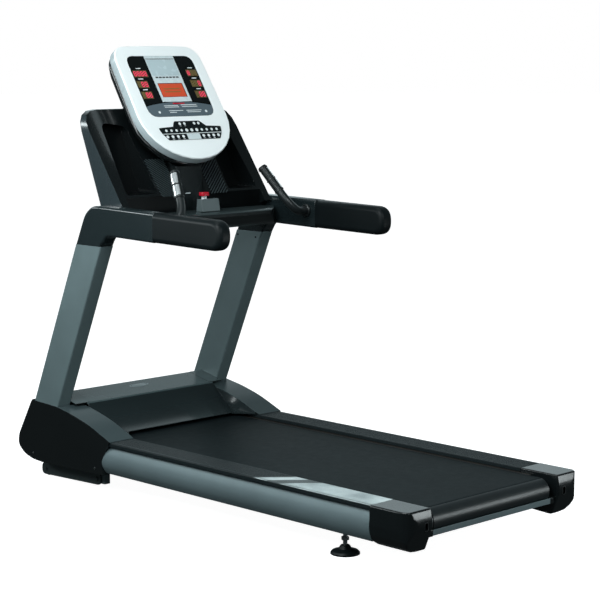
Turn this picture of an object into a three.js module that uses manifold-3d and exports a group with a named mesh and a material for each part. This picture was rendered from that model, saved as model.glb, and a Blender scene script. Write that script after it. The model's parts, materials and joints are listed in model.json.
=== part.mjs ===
// Motorised treadmill with an inclining deck, in millimetres.
// +X is the user's right, +Y the way the user faces, +Z up. The floor is z = 0.
import * as THREE from 'three';
import { mergeVertices } from 'three/addons/utils/BufferGeometryUtils.js';
import { ConvexGeometry } from 'three/addons/geometries/ConvexGeometry.js';
import Module from 'manifold-3d';

const wasm = await Module();
wasm.setup();

// ---- Driving dimensions ----------------------------------------------------------------
const GAP = 0.3;                       // clearance between pieces that touch
const HALF_WIDTH = 415;                // over the side covers and rear caps
const NOSE_Y = 978;                    // front of the side covers
const TAIL_Y = -960;                   // rear of the caps

const BELT_HALF = 280;                 // half of a 560 mm wide running belt
const BELT_THICK = 2.5;
const ROLLER_Z = 146;                  // height of both roller axes
const BELT_RADIUS = 42;                // outside of the belt on a roller
const ROLLER_RADIUS = BELT_RADIUS - BELT_THICK - GAP;
const FRONT_ROLLER_Y = 620;
const REAR_ROLLER_Y = -900;
const DECK_TOP = ROLLER_Z + BELT_RADIUS - BELT_THICK - 0.5;
const DECK_THICK = 25;
const DECK_HALF = 345;

const RAIL = { inner: 310, outer: 360, low: 90, high: 150, rear: -925, front: 905, wall: 3 };
const CAP_FRONT = -799;
const FOOT_RAIL_INNER = 306;
const FOOT_RAIL_TOP = 199;
const REBATE = 1.2;                     // step in the foot rail's top that the fairing sits in
const PROFILE_LOW = 83;
const PROFILE_HIGH = 180;

const FOOT = { x: 337, y: -625, pivot: 20 };
const LIFT_PIVOT = { y: 594, z: 37 };
const WHEEL = { x: 334, y: 894, radius: 26, width: 24 };
const CRANK = { x: 100, y: 800, z: 58 };
const ACTUATOR_PIVOT = { y: 735, z: 240 };

const MOTOR = { y: 800, z: 172, radius: 56, right: -10, left: -268 };
const PULLEY = { left: -303.5, right: -288, roller: 50, motor: 28, belt: 3 };

const UPRIGHT = { inner: 353, outer: 411, depth: 129.5, lean: THREE.MathUtils.degToRad(23.65) };
const UPRIGHT_POINT = { y: 809.5, z: 296 };
const UPRIGHT_LOW = 152;
const COLLAR_INNER = 290;              // inner edge of the black collar beside each upright
const ELBOW_LOW = 883;
const ELBOW = { inner: 354, outer: 412 };
const SEAM_Y = 203;                    // where each elbow meets its grip
const GRIP_END = -131;
const CROSSBAR_TOP = 986;

const SLOT_HALF = 61.5;                // slot in the console shell around the mast
const SHELL_HALF = 350;
const SHELL_LOW = CROSSBAR_TOP + GAP;
const SHELL_TOP = 1348;

const HEAD_ORIGIN = new THREE.Vector3(0, 548, 1376);
const HEAD_TILT = Math.atan2(0.836, 0.549);
const HEAD = { half: 209, low: -60, lowRadius: 182, top: 234, depth: 38 };

// ---- Finishes ----------------------------------------------------------------------------
const finish = (color, roughness, metalness) =>
  new THREE.MeshStandardMaterial({ color, roughness, metalness });
const paint = () => finish(0x4b5759, 0.38, 0.55);
const aluminium = () => finish(0x59676a, 0.35, 0.8);
const steel = () => finish(0x8d9294, 0.4, 0.9);
const chrome = () => finish(0xd9dde0, 0.12, 1);
const blackGloss = () => finish(0x0c0e0f, 0.22, 0);
const blackPlastic = () => finish(0x1c1f20, 0.5, 0);
const greyPlastic = () => finish(0x39413f, 0.42, 0.1);
const whitePlastic = () => finish(0xe6eef0, 0.3, 0);
const rubber = () => finish(0x232829, 0.75, 0);
const beltRubber = () => finish(0x15191a, 0.85, 0);
const board = () => finish(0x6d5a44, 0.7, 0);
const redPlastic = () => finish(0xc2122c, 0.35, 0);
const orangeGlass = () => finish(0xd9642b, 0.2, 0);

// ---- Solid helpers -----------------------------------------------------------------------
function bare(geometry) {
  const copy = geometry.clone();
  copy.deleteAttribute('normal');
  copy.deleteAttribute('uv');
  return mergeVertices(copy, 1e-3);
}

function toSolid(geometry) {
  const merged = bare(geometry);
  const solid = new wasm.Manifold(new wasm.Mesh({
    numProp: 3,
    vertProperties: Float32Array.from(merged.attributes.position.array),
    triVerts: Uint32Array.from(merged.index.array),
  }));
  return solid;
}

function toGeometry(solid) {
  const mesh = solid.getMesh();
  const geometry = new THREE.BufferGeometry();
  geometry.setAttribute('position', new THREE.BufferAttribute(mesh.vertProperties, 3));
  geometry.setIndex(new THREE.BufferAttribute(mesh.triVerts, 1));
  return geometry;
}

const cut = (base, ...tools) =>
  toGeometry(tools.reduce((solid, tool) => solid.subtract(toSolid(tool)), toSolid(base)));
const join = (base, ...more) =>
  toGeometry(more.reduce((solid, piece) => solid.add(toSolid(piece)), toSolid(base)));
const common = (base, ...limits) =>
  toGeometry(limits.reduce((solid, limit) => solid.intersect(toSolid(limit)), toSolid(base)));

function volume(geometry) {
  const p = geometry.attributes.position;
  const index = geometry.index.array;
  const [a, b, c] = [new THREE.Vector3(), new THREE.Vector3(), new THREE.Vector3()];
  let sum = 0;
  for (let i = 0; i < index.length; i += 3) {
    a.fromBufferAttribute(p, index[i]);
    b.fromBufferAttribute(p, index[i + 1]);
    c.fromBufferAttribute(p, index[i + 2]);
    sum += a.dot(b.cross(c)) / 6;
  }
  return sum;
}

function flip(geometry) {
  const index = geometry.index.array;
  for (let i = 0; i < index.length; i += 3) {
    [index[i + 1], index[i + 2]] = [index[i + 2], index[i + 1]];
  }
  return geometry;
}

function outward(geometry) {
  const merged = bare(geometry);
  return volume(merged) < 0 ? flip(merged) : merged;
}

const mirrored = (geometry) => flip(bare(geometry).scale(-1, 1, 1));

// Corners are [a, b] or [a, b, reach]; reach rounds a corner over that length of each edge.
function outline(corners) {
  const shape = new THREE.Shape();
  const count = corners.length;
  const at = (i) => new THREE.Vector2(...corners[(i + count) % count].slice(0, 2));
  corners.forEach(([a, b, reach = 0], i) => {
    const corner = new THREE.Vector2(a, b);
    const toward = (other) => corner.clone().add(other.sub(corner).setLength(reach));
    const start = reach ? toward(at(i - 1)) : corner;
    if (i === 0) shape.moveTo(start.x, start.y);
    else shape.lineTo(start.x, start.y);
    if (reach) {
      const end = toward(at(i + 1));
      shape.quadraticCurveTo(corner.x, corner.y, end.x, end.y);
    }
  });
  shape.closePath();
  return shape;
}

const asShape = (section) => (section instanceof THREE.Shape ? section : outline(section));

function extrude(section, depth, bevel, curveSegments) {
  const settings = {
    depth: depth - 2 * bevel,
    bevelEnabled: bevel > 0,
    bevelThickness: bevel,
    bevelSize: bevel,
    bevelOffset: -bevel,
    bevelSegments: 2,
    curveSegments,
  };
  return new THREE.ExtrudeGeometry(asShape(section), settings).translate(0, 0, bevel);
}

const X = new THREE.Vector3(1, 0, 0);
const Y = new THREE.Vector3(0, 1, 0);
const Z = new THREE.Vector3(0, 0, 1);
const alongX = new THREE.Matrix4().makeBasis(Y, Z, X);
const alongY = new THREE.Matrix4().makeBasis(X, Z, Y.clone().negate());

// Prisms of an outline in the plane across the named axis.
const prismX = (section, x0, x1, bevel = 0, curves = 4) =>
  outward(extrude(section, x1 - x0, bevel, curves).applyMatrix4(alongX).translate(x0, 0, 0));
const prismY = (section, y0, y1, bevel = 0, curves = 4) =>
  outward(extrude(section, y1 - y0, bevel, curves).applyMatrix4(alongY).translate(0, y1, 0));
const prismZ = (section, z0, z1, bevel = 0, curves = 4) =>
  outward(extrude(section, z1 - z0, bevel, curves).translate(0, 0, z0));

const rectangle = (a0, a1, b0, b1, reach = 0) =>
  [[a0, b0, reach], [a1, b0, reach], [a1, b1, reach], [a0, b1, reach]];
const block = (x0, x1, y0, y1, z0, z1) =>
  outward(new THREE.BoxGeometry(x1 - x0, y1 - y0, z1 - z0)
    .translate((x0 + x1) / 2, (y0 + y1) / 2, (z0 + z1) / 2));

// A round bar along X from x0 to x1, its axis at (y, z).
const barX = (x0, x1, y, z, radius, sides = 20) =>
  outward(new THREE.CylinderGeometry(radius, radius, x1 - x0, sides)
    .rotateZ(Math.PI / 2).translate((x0 + x1) / 2, y, z));

// A turned piece. The profile is [radius, height] along its own Y axis.
const turned = (profile, sides = 32) =>
  outward(new THREE.LatheGeometry(profile.map(([r, h]) => new THREE.Vector2(r, h)), sides));

// A closed skin over loops that hold the same number of points, capped at both ends.
function loft(loops) {
  const size = loops[0].length;
  const positions = loops.flat().flatMap((p) => [p.x, p.y, p.z]);
  const index = [];
  for (let k = 0; k < loops.length - 1; k += 1) {
    for (let i = 0; i < size; i += 1) {
      const [a, b] = [k * size + i, k * size + ((i + 1) % size)];
      index.push(a, b, b + size, a, b + size, a + size);
    }
  }
  [[loops[0], 0, 1], [loops.at(-1), (loops.length - 1) * size, -1]].forEach(([loop, first, turn]) => {
    const middle = loop.reduce((sum, p) => sum.add(p), new THREE.Vector3()).divideScalar(size);
    const centre = positions.length / 3;
    positions.push(middle.x, middle.y, middle.z);
    for (let i = 0; i < size; i += 1) {
      const [a, b] = [first + i, first + ((i + 1) % size)];
      if (turn > 0) index.push(centre, b, a);
      else index.push(centre, a, b);
    }
  });
  const geometry = new THREE.BufferGeometry();
  geometry.setAttribute('position', new THREE.Float32BufferAttribute(positions, 3));
  geometry.setIndex(index);
  return outward(geometry);
}

// ---- Assembly helpers --------------------------------------------------------------------
const treadmill = new THREE.Group();
treadmill.position.y = -(NOSE_Y + TAIL_Y) / 2;   // the origin is under the middle of the whole length

function add(name, geometry, material, parent = treadmill) {
  const mesh = new THREE.Mesh(geometry, material);
  mesh.name = name;
  parent.add(mesh);
  return mesh;
}

// The right-hand piece and its mirror image.
function addPair(name, geometry, material) {
  add(`${name}_right`, geometry, material());
  add(`${name}_left`, mirrored(geometry), material());
}

// ---- Rear feet -----------------------------------------------------------------------------
const PAD_PROFILE = [[0, 0], [47, 0], [47, 5], [42, 11], [22, 17], [14, 29], [9.2, 29], [9.2, 11.5], [0, 11.5]];
const STEM_PROFILE = [[0, 12], [5, 13.8], [8, 20], [7, 24], [7, RAIL.low - GAP], [0, RAIL.low - GAP]];

function addFeet() {
  [['right', 1], ['left', -1]].forEach(([side, sign]) => {
    const pad = add(`foot_pad_${side}`, turned(PAD_PROFILE, 28), rubber());
    const nut = prismZ(new THREE.Shape(hexagon(13)), 44, 55);
    const stem = join(turned(STEM_PROFILE, 16).rotateX(Math.PI / 2), nut);
    pad.rotation.x = Math.PI / 2;
    pad.position.set(sign * FOOT.x, FOOT.y, 0);
    add(`foot_stem_${side}`, stem, steel()).position.set(sign * FOOT.x, FOOT.y, 0);
  });
}

function hexagon(radius) {
  return Array.from({ length: 6 }, (_, i) =>
    new THREE.Vector2(radius * Math.cos(i * Math.PI / 3), radius * Math.sin(i * Math.PI / 3)));
}

// ---- Deck ----------------------------------------------------------------------------------
function addFrame() {
  const { inner, outer, low, high, rear, front, wall } = RAIL;
  const tube = cut(block(inner, outer, rear, front, low, high),
    block(inner + wall, outer - wall, rear - 1, front + 1, low + wall, high - wall));
  const bearing = block(inner, outer, FRONT_ROLLER_Y - 24, FRONT_ROLLER_Y + 24, high - 2, high + 22);
  const endPlate = block(inner + 1, outer - 1, rear, rear + 4, low + 1, high - 1);
  const pivotBracket = prismX([[556, 91], [556, 22], [620, 22], [632, 34], [632, 91]], 325, 349.7);
  const outrigger = block(355, 409, 795, 945, 100, UPRIGHT_LOW - GAP);
  const rail = cut(join(tube, bearing, endPlate, pivotBracket, outrigger),
    barX(inner - 1, outer + 1, FRONT_ROLLER_Y, ROLLER_Z, 10.4),
    block(inner - 1, outer + 1, REAR_ROLLER_Y - 12, REAR_ROLLER_Y + 12, ROLLER_Z - 10.4, high + 1),
    block(327.5, 340.5, rear - 1, REAR_ROLLER_Y, ROLLER_Z - 6.5, high + 1),
    barX(315, 351, LIFT_PIVOT.y, LIFT_PIVOT.z, 8.4, 16));
  addPair('frame_rail', rail, paint);

  const channel = [[-25, 112], [-25, 145], [25, 145], [25, 112], [22, 112], [22, 142], [-22, 142], [-22, 112]];
  add('deck_crossbar', prismX(channel, -inner + GAP, inner - GAP), paint());

  const half = FOOT_RAIL_INNER - GAP;
  const angle = [[-942, 106.5], [-942, 125], [-938.5, 125], [-938.5, 109.7], [-924, 109.7], [-924, 106.5]];
  add('rear_beam', prismX(angle, -half, half), aluminium());
}

function addMotorTray() {
  const edge = RAIL.inner - GAP;
  const base = block(-edge, edge, 672, 900, 92, 95);
  const nose = block(-edge, edge, 897, 900, 92, 160);
  const lug = (x0) => prismX([[700, 93], [795, 93], [754, 250], [735, 262], [716, 250]], x0, x0 + 5);
  const tray = cut(join(base, nose, lug(62), lug(190)),
    barX(55, 200, ACTUATOR_PIVOT.y, ACTUATOR_PIVOT.z, 8.4, 16),
    block(78, 122, 716, 814, 90, 96));
  add('motor_tray', tray, paint());
}

function sideProfileSection() {
  const shape = new THREE.Shape();
  const edge = RAIL.outer + GAP;
  const middle = (PROFILE_LOW + PROFILE_HIGH) / 2;
  shape.moveTo(edge, PROFILE_LOW);
  shape.lineTo(398, PROFILE_LOW);
  shape.quadraticCurveTo(2 * HALF_WIDTH - 398, middle, 398, PROFILE_HIGH);
  shape.lineTo(edge, PROFILE_HIGH);
  shape.lineTo(edge, PROFILE_HIGH - 4);
  shape.lineTo(395, PROFILE_HIGH - 4);
  shape.quadraticCurveTo(2 * HALF_WIDTH - 403, middle, 395, PROFILE_LOW + 4);
  shape.lineTo(edge, PROFILE_LOW + 4);
  return shape;
}

// The outline of the cover that wraps the foot of an upright, in (y, z).
const coverOutline = (shift = 0) => [
  [445 + shift, 199.6], [559 + shift, 244.4, 40], [660 + shift, 270.9, 40], [753 + shift, 286.5],
  [893, 293, 10], [932, 226, 30], [NOSE_Y, 150, 20], [NOSE_Y, 114, 16], [942, 86, 20],
  [893, 73, 15], [836, 69], [480 + shift, 78], [496 + shift, 115, 24], [468 + shift, 169],
];

function addDeckTrim() {
  const start = CAP_FRONT + GAP;
  const profile = cut(prismY(sideProfileSection(), start, 520, 0, 8), prismX(coverOutline(-0.6), 350, 420));
  addPair('side_profile', profile, aluminium);

  const edge = FOOT_RAIL_INNER;
  const top = FOOT_RAIL_TOP;
  const section = [[edge, 187], [edge, top - 2], [edge + 2, top], [407, top], [410, top - 3], [410, 184],
    [401, 184], [401, PROFILE_HIGH + 0.4], [364, PROFILE_HIGH + 0.4], [364, 187]];
  const rebate = block(edge - 1, 411, SCOOP_TAIL - 1, 561, top - REBATE, top + 1);
  addPair('foot_rail', cut(prismY(section, start, 560), rebate), blackPlastic);

  // The deck narrows between the rear caps.
  const deckLow = DECK_TOP - DECK_THICK;
  const deck = join(block(-DECK_HALF, DECK_HALF, start + 1, 560, deckLow, DECK_TOP),
    block(-304, 304, -848, start + 2, deckLow, DECK_TOP));
  add('deck_board', deck, board());
  const cushion = block(316, 340, -700, 480, RAIL.high + GAP, deckLow - GAP);
  addPair('deck_cushion', cushion, rubber);
}

function addRearCaps() {
  const [inner, outer, top] = [FOOT_RAIL_INNER, HALF_WIDTH, FOOT_RAIL_TOP];
  const plan = (grow, reach) => [[inner + 3.7 * grow, CAP_FRONT + 9 * grow], [outer - 4 * grow, CAP_FRONT + 9 * grow],
    [outer - 4 * grow, TAIL_Y + 4 * grow, reach], [inner + 3.7 * grow, TAIL_Y + 4 * grow, 4]];
  const across = (grow, reach) => [[inner + 3.7 * grow, 66 + 6 * grow], [outer - 4 * grow, 66 + 6 * grow, reach],
    [outer - 4 * grow, top - 4 * grow, 6], [inner + 3.7 * grow, top - 4 * grow]];
  const body = common(
    prismX([[TAIL_Y + 8, top, 5], [TAIL_Y, 166, 16], [TAIL_Y, 140, 10], [-930, 65, 8], [CAP_FRONT, 72],
      [CAP_FRONT, top]], inner, outer),
    prismZ(plan(0, 46), 60, top + 1),
    prismY(across(0, 72), TAIL_Y - 1, CAP_FRONT + 1));
  const hollow = common(
    prismX([[TAIL_Y + 11, top - 4, 4], [TAIL_Y + 4, 165, 14], [TAIL_Y + 4, 141, 8], [-927.5, 69.2, 6], [-790, 76],
      [-790, top - 4]], inner + 3, outer),
    prismZ(plan(1, 42), 60, top),
    prismY(across(1, 70), TAIL_Y, -789));
  const cap = cut(body, hollow,
    block(inner - 1, inner + 5, -914, -886, 133, 159),
    prismY(rectangle(328, 341, 133, 157, 4), TAIL_Y - 2, TAIL_Y + 8));
  addPair('rear_cap', cap, blackGloss);
}

// ---- Belt and rollers ------------------------------------------------------------------------
// The outline of a band around two wheels in (y, z), grown outward by extra.
function bandOutline(a, b, extra) {
  const [ra, rb] = [a.radius + extra, b.radius + extra];
  const run = Math.hypot(b.y - a.y, b.z - a.z);
  const heading = Math.atan2(b.z - a.z, b.y - a.y);
  const spread = Math.acos((ra - rb) / run);
  const shape = new THREE.Shape();
  shape.absarc(a.y, a.z, ra, heading + spread, heading - spread + 2 * Math.PI, false);
  shape.absarc(b.y, b.z, rb, heading - spread, heading + spread, false);
  shape.closePath();
  return shape;
}

function band(a, b, clearance, thickness, x0, x1, curves) {
  return cut(prismX(bandOutline(a, b, clearance + thickness), x0, x1, 0, curves),
    prismX(bandOutline(a, b, clearance), x0 - 1, x1 + 1, 0, curves));
}

function addBeltDrive() {
  const rear = { y: REAR_ROLLER_Y, z: ROLLER_Z, radius: ROLLER_RADIUS };
  const front = { y: FRONT_ROLLER_Y, z: ROLLER_Z, radius: ROLLER_RADIUS };
  add('running_belt', band(rear, front, GAP, BELT_THICK, -BELT_HALF, BELT_HALF, 12), beltRubber());

  const face = BELT_HALF + 4;
  const shell = [[10.5, -face], [ROLLER_RADIUS, -face], [ROLLER_RADIUS, face], [10.5, face],
    [10.5, face - 12], [ROLLER_RADIUS - 4, face - 12], [ROLLER_RADIUS - 4, 12 - face], [10.5, 12 - face],
    [10.5, -face]];
  const rearRoller = add('rear_roller', turned(shell, 28), steel());
  rearRoller.rotation.z = -Math.PI / 2;
  rearRoller.position.set(0, REAR_ROLLER_Y, ROLLER_Z);

  const bolt = (x) => [
    outward(new THREE.CylinderGeometry(5, 5, 34, 8).translate(x, -920, ROLLER_Z)),
    outward(new THREE.CylinderGeometry(8, 8, 8, 6).translate(x, -934, ROLLER_Z)),
  ];
  add('rear_axle', join(barX(-346, 346, REAR_ROLLER_Y, ROLLER_Z, 10), ...bolt(334), ...bolt(-334)), steel());

  const end = 340;
  const driveRoller = [[0, -end], [10, -end], [10, PULLEY.left], [PULLEY.roller, PULLEY.left],
    [PULLEY.roller, PULLEY.right], [26, PULLEY.right], [26, -face], [ROLLER_RADIUS, -face],
    [ROLLER_RADIUS, face], [ROLLER_RADIUS - 5, face], [ROLLER_RADIUS - 5, 14 - face], [10, 14 - face], [10, end],
    [0, end]];
  const frontRoller = add('front_roller', turned(driveRoller, 28), steel());
  frontRoller.rotation.z = -Math.PI / 2;
  frontRoller.position.set(0, FRONT_ROLLER_Y, ROLLER_Z);

  const driven = { y: FRONT_ROLLER_Y, z: ROLLER_Z, radius: PULLEY.roller };
  const driving = { y: MOTOR.y, z: MOTOR.z, radius: PULLEY.motor };
  const ribbed = band(driven, driving, GAP, PULLEY.belt, PULLEY.left + 1, PULLEY.right - 1, 10);
  add('drive_belt', ribbed, beltRubber());

  const rotor = [[0, PULLEY.left], [PULLEY.motor, PULLEY.left], [PULLEY.motor, PULLEY.right],
    [9, PULLEY.right], [9, -247], [0, -247]];
  const motorPulley = add('motor_pulley', turned(rotor, 20), steel());
  motorPulley.rotation.z = -Math.PI / 2;
  motorPulley.position.set(0, MOTOR.y, MOTOR.z);
}

function addMotorBay() {
  const { radius, left, right } = MOTOR;
  const can = [[0, -245], [9.4, -245], [9.4, left], [radius - 8, left], [radius, left + 8],
    [radius, right - 10], [radius - 10, right], [0, right]];
  const body = turned(can, 26).rotateZ(-Math.PI / 2).translate(0, MOTOR.y, MOTOR.z);
  add('drive_motor', join(body, block(-220, -60, 762, 838, 95 + GAP, 125)), blackPlastic());

  const fins = [];
  for (let x = 208; x < 300; x += 13) fins.push(block(x, x + 5, 704, 856, 160, 190));
  add('motor_controller', join(block(205, 301, 700, 860, 95 + GAP, 162), ...fins), aluminium());
}

// ---- Covers around the motor -------------------------------------------------------------------
// The hollow face of the hood, in (y, z), from its ridge down to the belt.
const SCOOP = new THREE.QuadraticBezierCurve(
  new THREE.Vector2(707, 291), new THREE.Vector2(636, 214), new THREE.Vector2(539, 203));
const SCOOP_HALF = 304;
const SCOOP_DRAFT = 54;
const SCOOP_TAIL = 447;                // rear end of the cheeks beside the scoop
const FAIRING_TOP = [[741, 285.2], [660, 270.9, 40], [559, 244.4, 40], [SCOOP_TAIL, 200.4]];

// Half the scoop's width at y, where the cheeks curve in to meet it.
function scoopEdge(y) {
  const [ridge, foot] = [SCOOP.v0.x, SCOOP.v2.x];
  const share = y > foot ? ((ridge - y) / (ridge - foot)) ** 2.4 : ((y - SCOOP_TAIL) / (foot - SCOOP_TAIL)) ** 1.5;
  return SCOOP_HALF - SCOOP_DRAFT * share;
}

function fairingTopAt(y) {
  const k = FAIRING_TOP.findIndex(([at]) => at < y);
  const [[y0, z0], [y1, z1]] = [FAIRING_TOP[k], FAIRING_TOP[k - 1]];
  return z0 + (z1 - z0) * (y - y0) / (y1 - y0);
}

function addHood() {
  const skin = new THREE.Shape();
  skin.moveTo(824, 318);
  skin.lineTo(SCOOP.v0.x, SCOOP.v0.y);
  skin.quadraticCurveTo(SCOOP.v1.x, SCOOP.v1.y, SCOOP.v2.x, SCOOP.v2.y);
  skin.lineTo(539, 200);
  skin.quadraticCurveTo(638, 211, 709, 288.2);
  skin.lineTo(824, 314.7);
  const hoodHalf = SCOOP_HALF - GAP;
  const shoulders = block(COLLAR_INNER - GAP, 310, 712, 826, 280, 320);
  const sides = prismZ([...SCOOP.getPoints(12).map(({ x: y }) => [scoopEdge(y) - GAP, y]), [320, 530], [320, 707]],
    190, 300);
  const hood = cut(prismX(skin, -hoodHalf, hoodHalf, 0, 10), shoulders, mirrored(shoulders), sides, mirrored(sides));
  add('motor_hood', hood, greyPlastic());
  const half = UPRIGHT.inner - 1;

  const outer = [[824.5, 69.6], [824.5, 317.8], [892.8, 292.5, 10], [932, 226, 30], [NOSE_Y, 150, 20],
    [NOSE_Y, 114, 16], [942, 86, 20], [893, 73, 15], [836, 69.6]];
  const inner = [[820, 72.6], [820, 316.2], [891, 290, 8], [929, 225, 30], [975, 149, 18],
    [975, 115.5, 14], [940.8, 89, 18], [892.5, 76, 14], [836, 72.6]];
  const inlet = prismY(rectangle(-226, -174, 118, 148, 3), 960, 980);
  const shoulder = (x0, x1) => block(x0, x1, 820, 893.5, 289, 320);
  const cover = cut(prismX(outer, -half, half), prismX(inner, -half - 1, half + 1), inlet,
    shoulder(COLLAR_INNER - GAP, half + 1), shoulder(-half - 1, GAP - COLLAR_INNER));
  add('front_cover', cover, blackGloss());

  const socket = cut(prismY(rectangle(-225.6, -174.4, 118.4, 147.6, 3), 945, 977),
    prismY(rectangle(-214, -186, 124, 142, 3), 955, 979));
  add('power_inlet', socket, blackPlastic());
}

function addFairings() {
  const low = FOOT_RAIL_TOP - REBATE + 0.4;
  const under = [[742, 282.2], [660.6, 267.8, 40], [560, 241.4, 40], [452, 198]];
  const body = prismX([[741, low], ...FAIRING_TOP, [SCOOP_TAIL, low]], SCOOP_HALF, 411.7);
  const hollow = prismX([[742, 190], ...under, [452, 190]], SCOOP_HALF + 3, 413);
  const beside = block(303, 352.6, 706, 750, 190, 300);

  // The cheek closes the side of the scoop: wide at the belt, fading out at the ridge and the tail.
  const stations = [...SCOOP.getPoints(12).slice(2).map(({ x, y }) => [x, y]), [515, 203], [490, 202], [465, 201]];
  const cheek = loft(stations.map(([y, z]) => [
    [scoopEdge(y), Math.max(z - 6, low)], [SCOOP_HALF + 1.5, Math.max(z - 6, low)],
    [SCOOP_HALF + 1.5, fairingTopAt(y) - 2], [SCOOP_HALF + 0.2, fairingTopAt(y) - 2], [scoopEdge(y), z + 0.4],
  ].map(([x, height]) => new THREE.Vector3(x, y, height))));
  const fairing = join(cut(body, hollow, beside), cheek);
  addPair('fairing', fairing, greyPlastic);

  const inside = [[430, 320], [888, 320], [888, 290], [929, 225, 30], [975, 149, 18], [975, 115.5, 14],
    [940.8, 89, 18], [892.5, 76, 14], [836, 72], [484, 81], [499, 115, 24], [471, 171], [467, 179.6],
    [430, 179.6]];
  const wrap = cut(prismX(coverOutline(), 352.3, HALF_WIDTH),
    prismX(inside, 350, HALF_WIDTH - 3),
    block(350, RAIL.outer + 0.6, 430, 520, RAIL.low - 0.6, RAIL.high + 0.6));
  // The collar runs from beside the upright, round its front, to the outer wall.
  const collar = join(
    prismX([[713, 292.8], [824, 318.6], [892, 293.4], [891.3, 290], [824, 314.7], [713, 289]], COLLAR_INNER, 352.5),
    prismX([[885.5, 295.8], [892, 293.4], [891, 290], [885.5, 291.9]], 352.4, HALF_WIDTH));
  const cover = join(wrap, collar);
  addPair('side_cover', cover, blackGloss);
}

// ---- Uprights, handrails and console crossbar ---------------------------------------------------
// A box section around the leaning axis of the upright, cut level at two heights.
function leaningTube(inset, low, high) {
  const { inner, outer, depth, lean } = UPRIGHT;
  const halfWidth = (outer - inner) / 2 - inset;
  const halfDepth = depth / 2 - inset;
  const tube = prismZ(rectangle(-halfWidth, halfWidth, -halfDepth, halfDepth, 7), -320, 800)
    .rotateX(lean).translate((inner + outer) / 2, UPRIGHT_POINT.y, UPRIGHT_POINT.z);
  return common(tube, block(300, 450, 300, 1100, low, high));
}

function addUprights() {
  const upright = cut(leaningTube(0, UPRIGHT_LOW, ELBOW_LOW - GAP), leaningTube(3, UPRIGHT_LOW - 5, ELBOW_LOW + 5));
  addPair('upright', upright, paint);

  const bend = [[622, ELBOW_LOW], [592, 948, 15], [571, 992, 20], [531, 1022, 22], [492, 1023],
    [SEAM_Y + GAP, 1017], [SEAM_Y + GAP, 916], [456, 922, 24], [481, ELBOW_LOW]];
  const elbow = join(prismX(bend, ELBOW.inner, ELBOW.outer, 7), leaningTube(4, ELBOW_LOW - 60, ELBOW_LOW + 1));
  addPair('handrail_elbow', elbow, greyPlastic);

  const grip = [[SEAM_Y, 1017], [GRIP_END, 1011, 46], [GRIP_END, 910, 45], [SEAM_Y, 916]];
  const plan = [[ELBOW.inner, 210], [ELBOW.outer, 210], [ELBOW.outer, GRIP_END, 29], [ELBOW.inner, GRIP_END, 29]];
  addPair('handrail_grip', common(prismX(grip, ELBOW.inner, ELBOW.outer, 9), prismZ(plan, 900, 1020)), rubber);
}

function addCrossbar() {
  const section = [[353, 966], [355, 977, 4], [372, 983, 8], [410, CROSSBAR_TOP], [548, CROSSBAR_TOP, 8],
    [560, 970, 8], [551, 926, 8], [418, 917, 12], [379, 932, 14]];
  const hollow = [[357, 965], [359, 974, 3], [373, 979, 6], [410, 982], [546, 982, 6],
    [556, 969, 6], [547.4, 929.7, 6], [419, 921.2, 10], [382, 935, 12]];
  const half = ELBOW.inner - GAP;
  const plan = (inset) => {
    const rear = 345 + inset;
    const edge = half - inset / 2;
    return [[-edge, 570], [-edge, rear + 70, 30], [-edge + 70, rear, 50], [edge - 70, rear, 50],
      [edge, rear + 70, 30], [edge, 570]];
  };
  const body = common(prismX(section, -half, half), prismZ(plan(0), 880, 1000));
  const inside = common(prismX(hollow, -half - 1, half + 1), prismZ(plan(4), 880, 1000));
  const ends = block(300, half + 1, 440, 540, 925, 978);
  add('console_crossbar', cut(body, inside, ends, mirrored(ends)), blackPlastic());

  const low = CROSSBAR_TOP + GAP;
  const holder = cut(prismX([[387, low], [396, 1030], [418, 1030], [422, low]], -24, 60),
    block(-9, 9, 400, 414, 1004, 1032));
  add('key_holder', holder, greyPlastic());
  const key = join(block(-8, 8, 401, 413, 1006, 1042), prismX(rectangle(395, 419, 1040, 1055, 4), -16, 16));
  add('safety_key', key, redPlastic());
}

// ---- Console shell and mast ----------------------------------------------------------------------
// Depth in y of the flat front and rear of the shell at height z.
const shellFront = (z) => 459 + (z - 1053) * 0.7;
const shellRear = (z) => 557 + (z - 1019) * 0.4;

function shellProfile(inset) {
  const half = SHELL_HALF - inset;
  return [[-half, SHELL_LOW + inset], [-half, SHELL_TOP - inset, 74 - inset], [half, SHELL_TOP - inset, 74 - inset],
    [half, SHELL_LOW + inset]];
}

function tray(side, grow) {
  const section = [[167 - grow, 1055 - grow, 14], [309 + grow, 1055 - grow, 14], [287 + grow, 1303 + grow, 30],
    [180 - grow, 1288 + grow, 24]].map(([x, z, reach]) => [side * x, z, reach]);
  const behind = 7.3 - grow;
  const reach = [[300, 1000], [shellRear(1000) - behind, 1000], [shellRear(1400) - behind, 1400], [300, 1400]];
  return common(prismY(section, 300, 760), prismX(reach, -400, 400));
}

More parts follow.
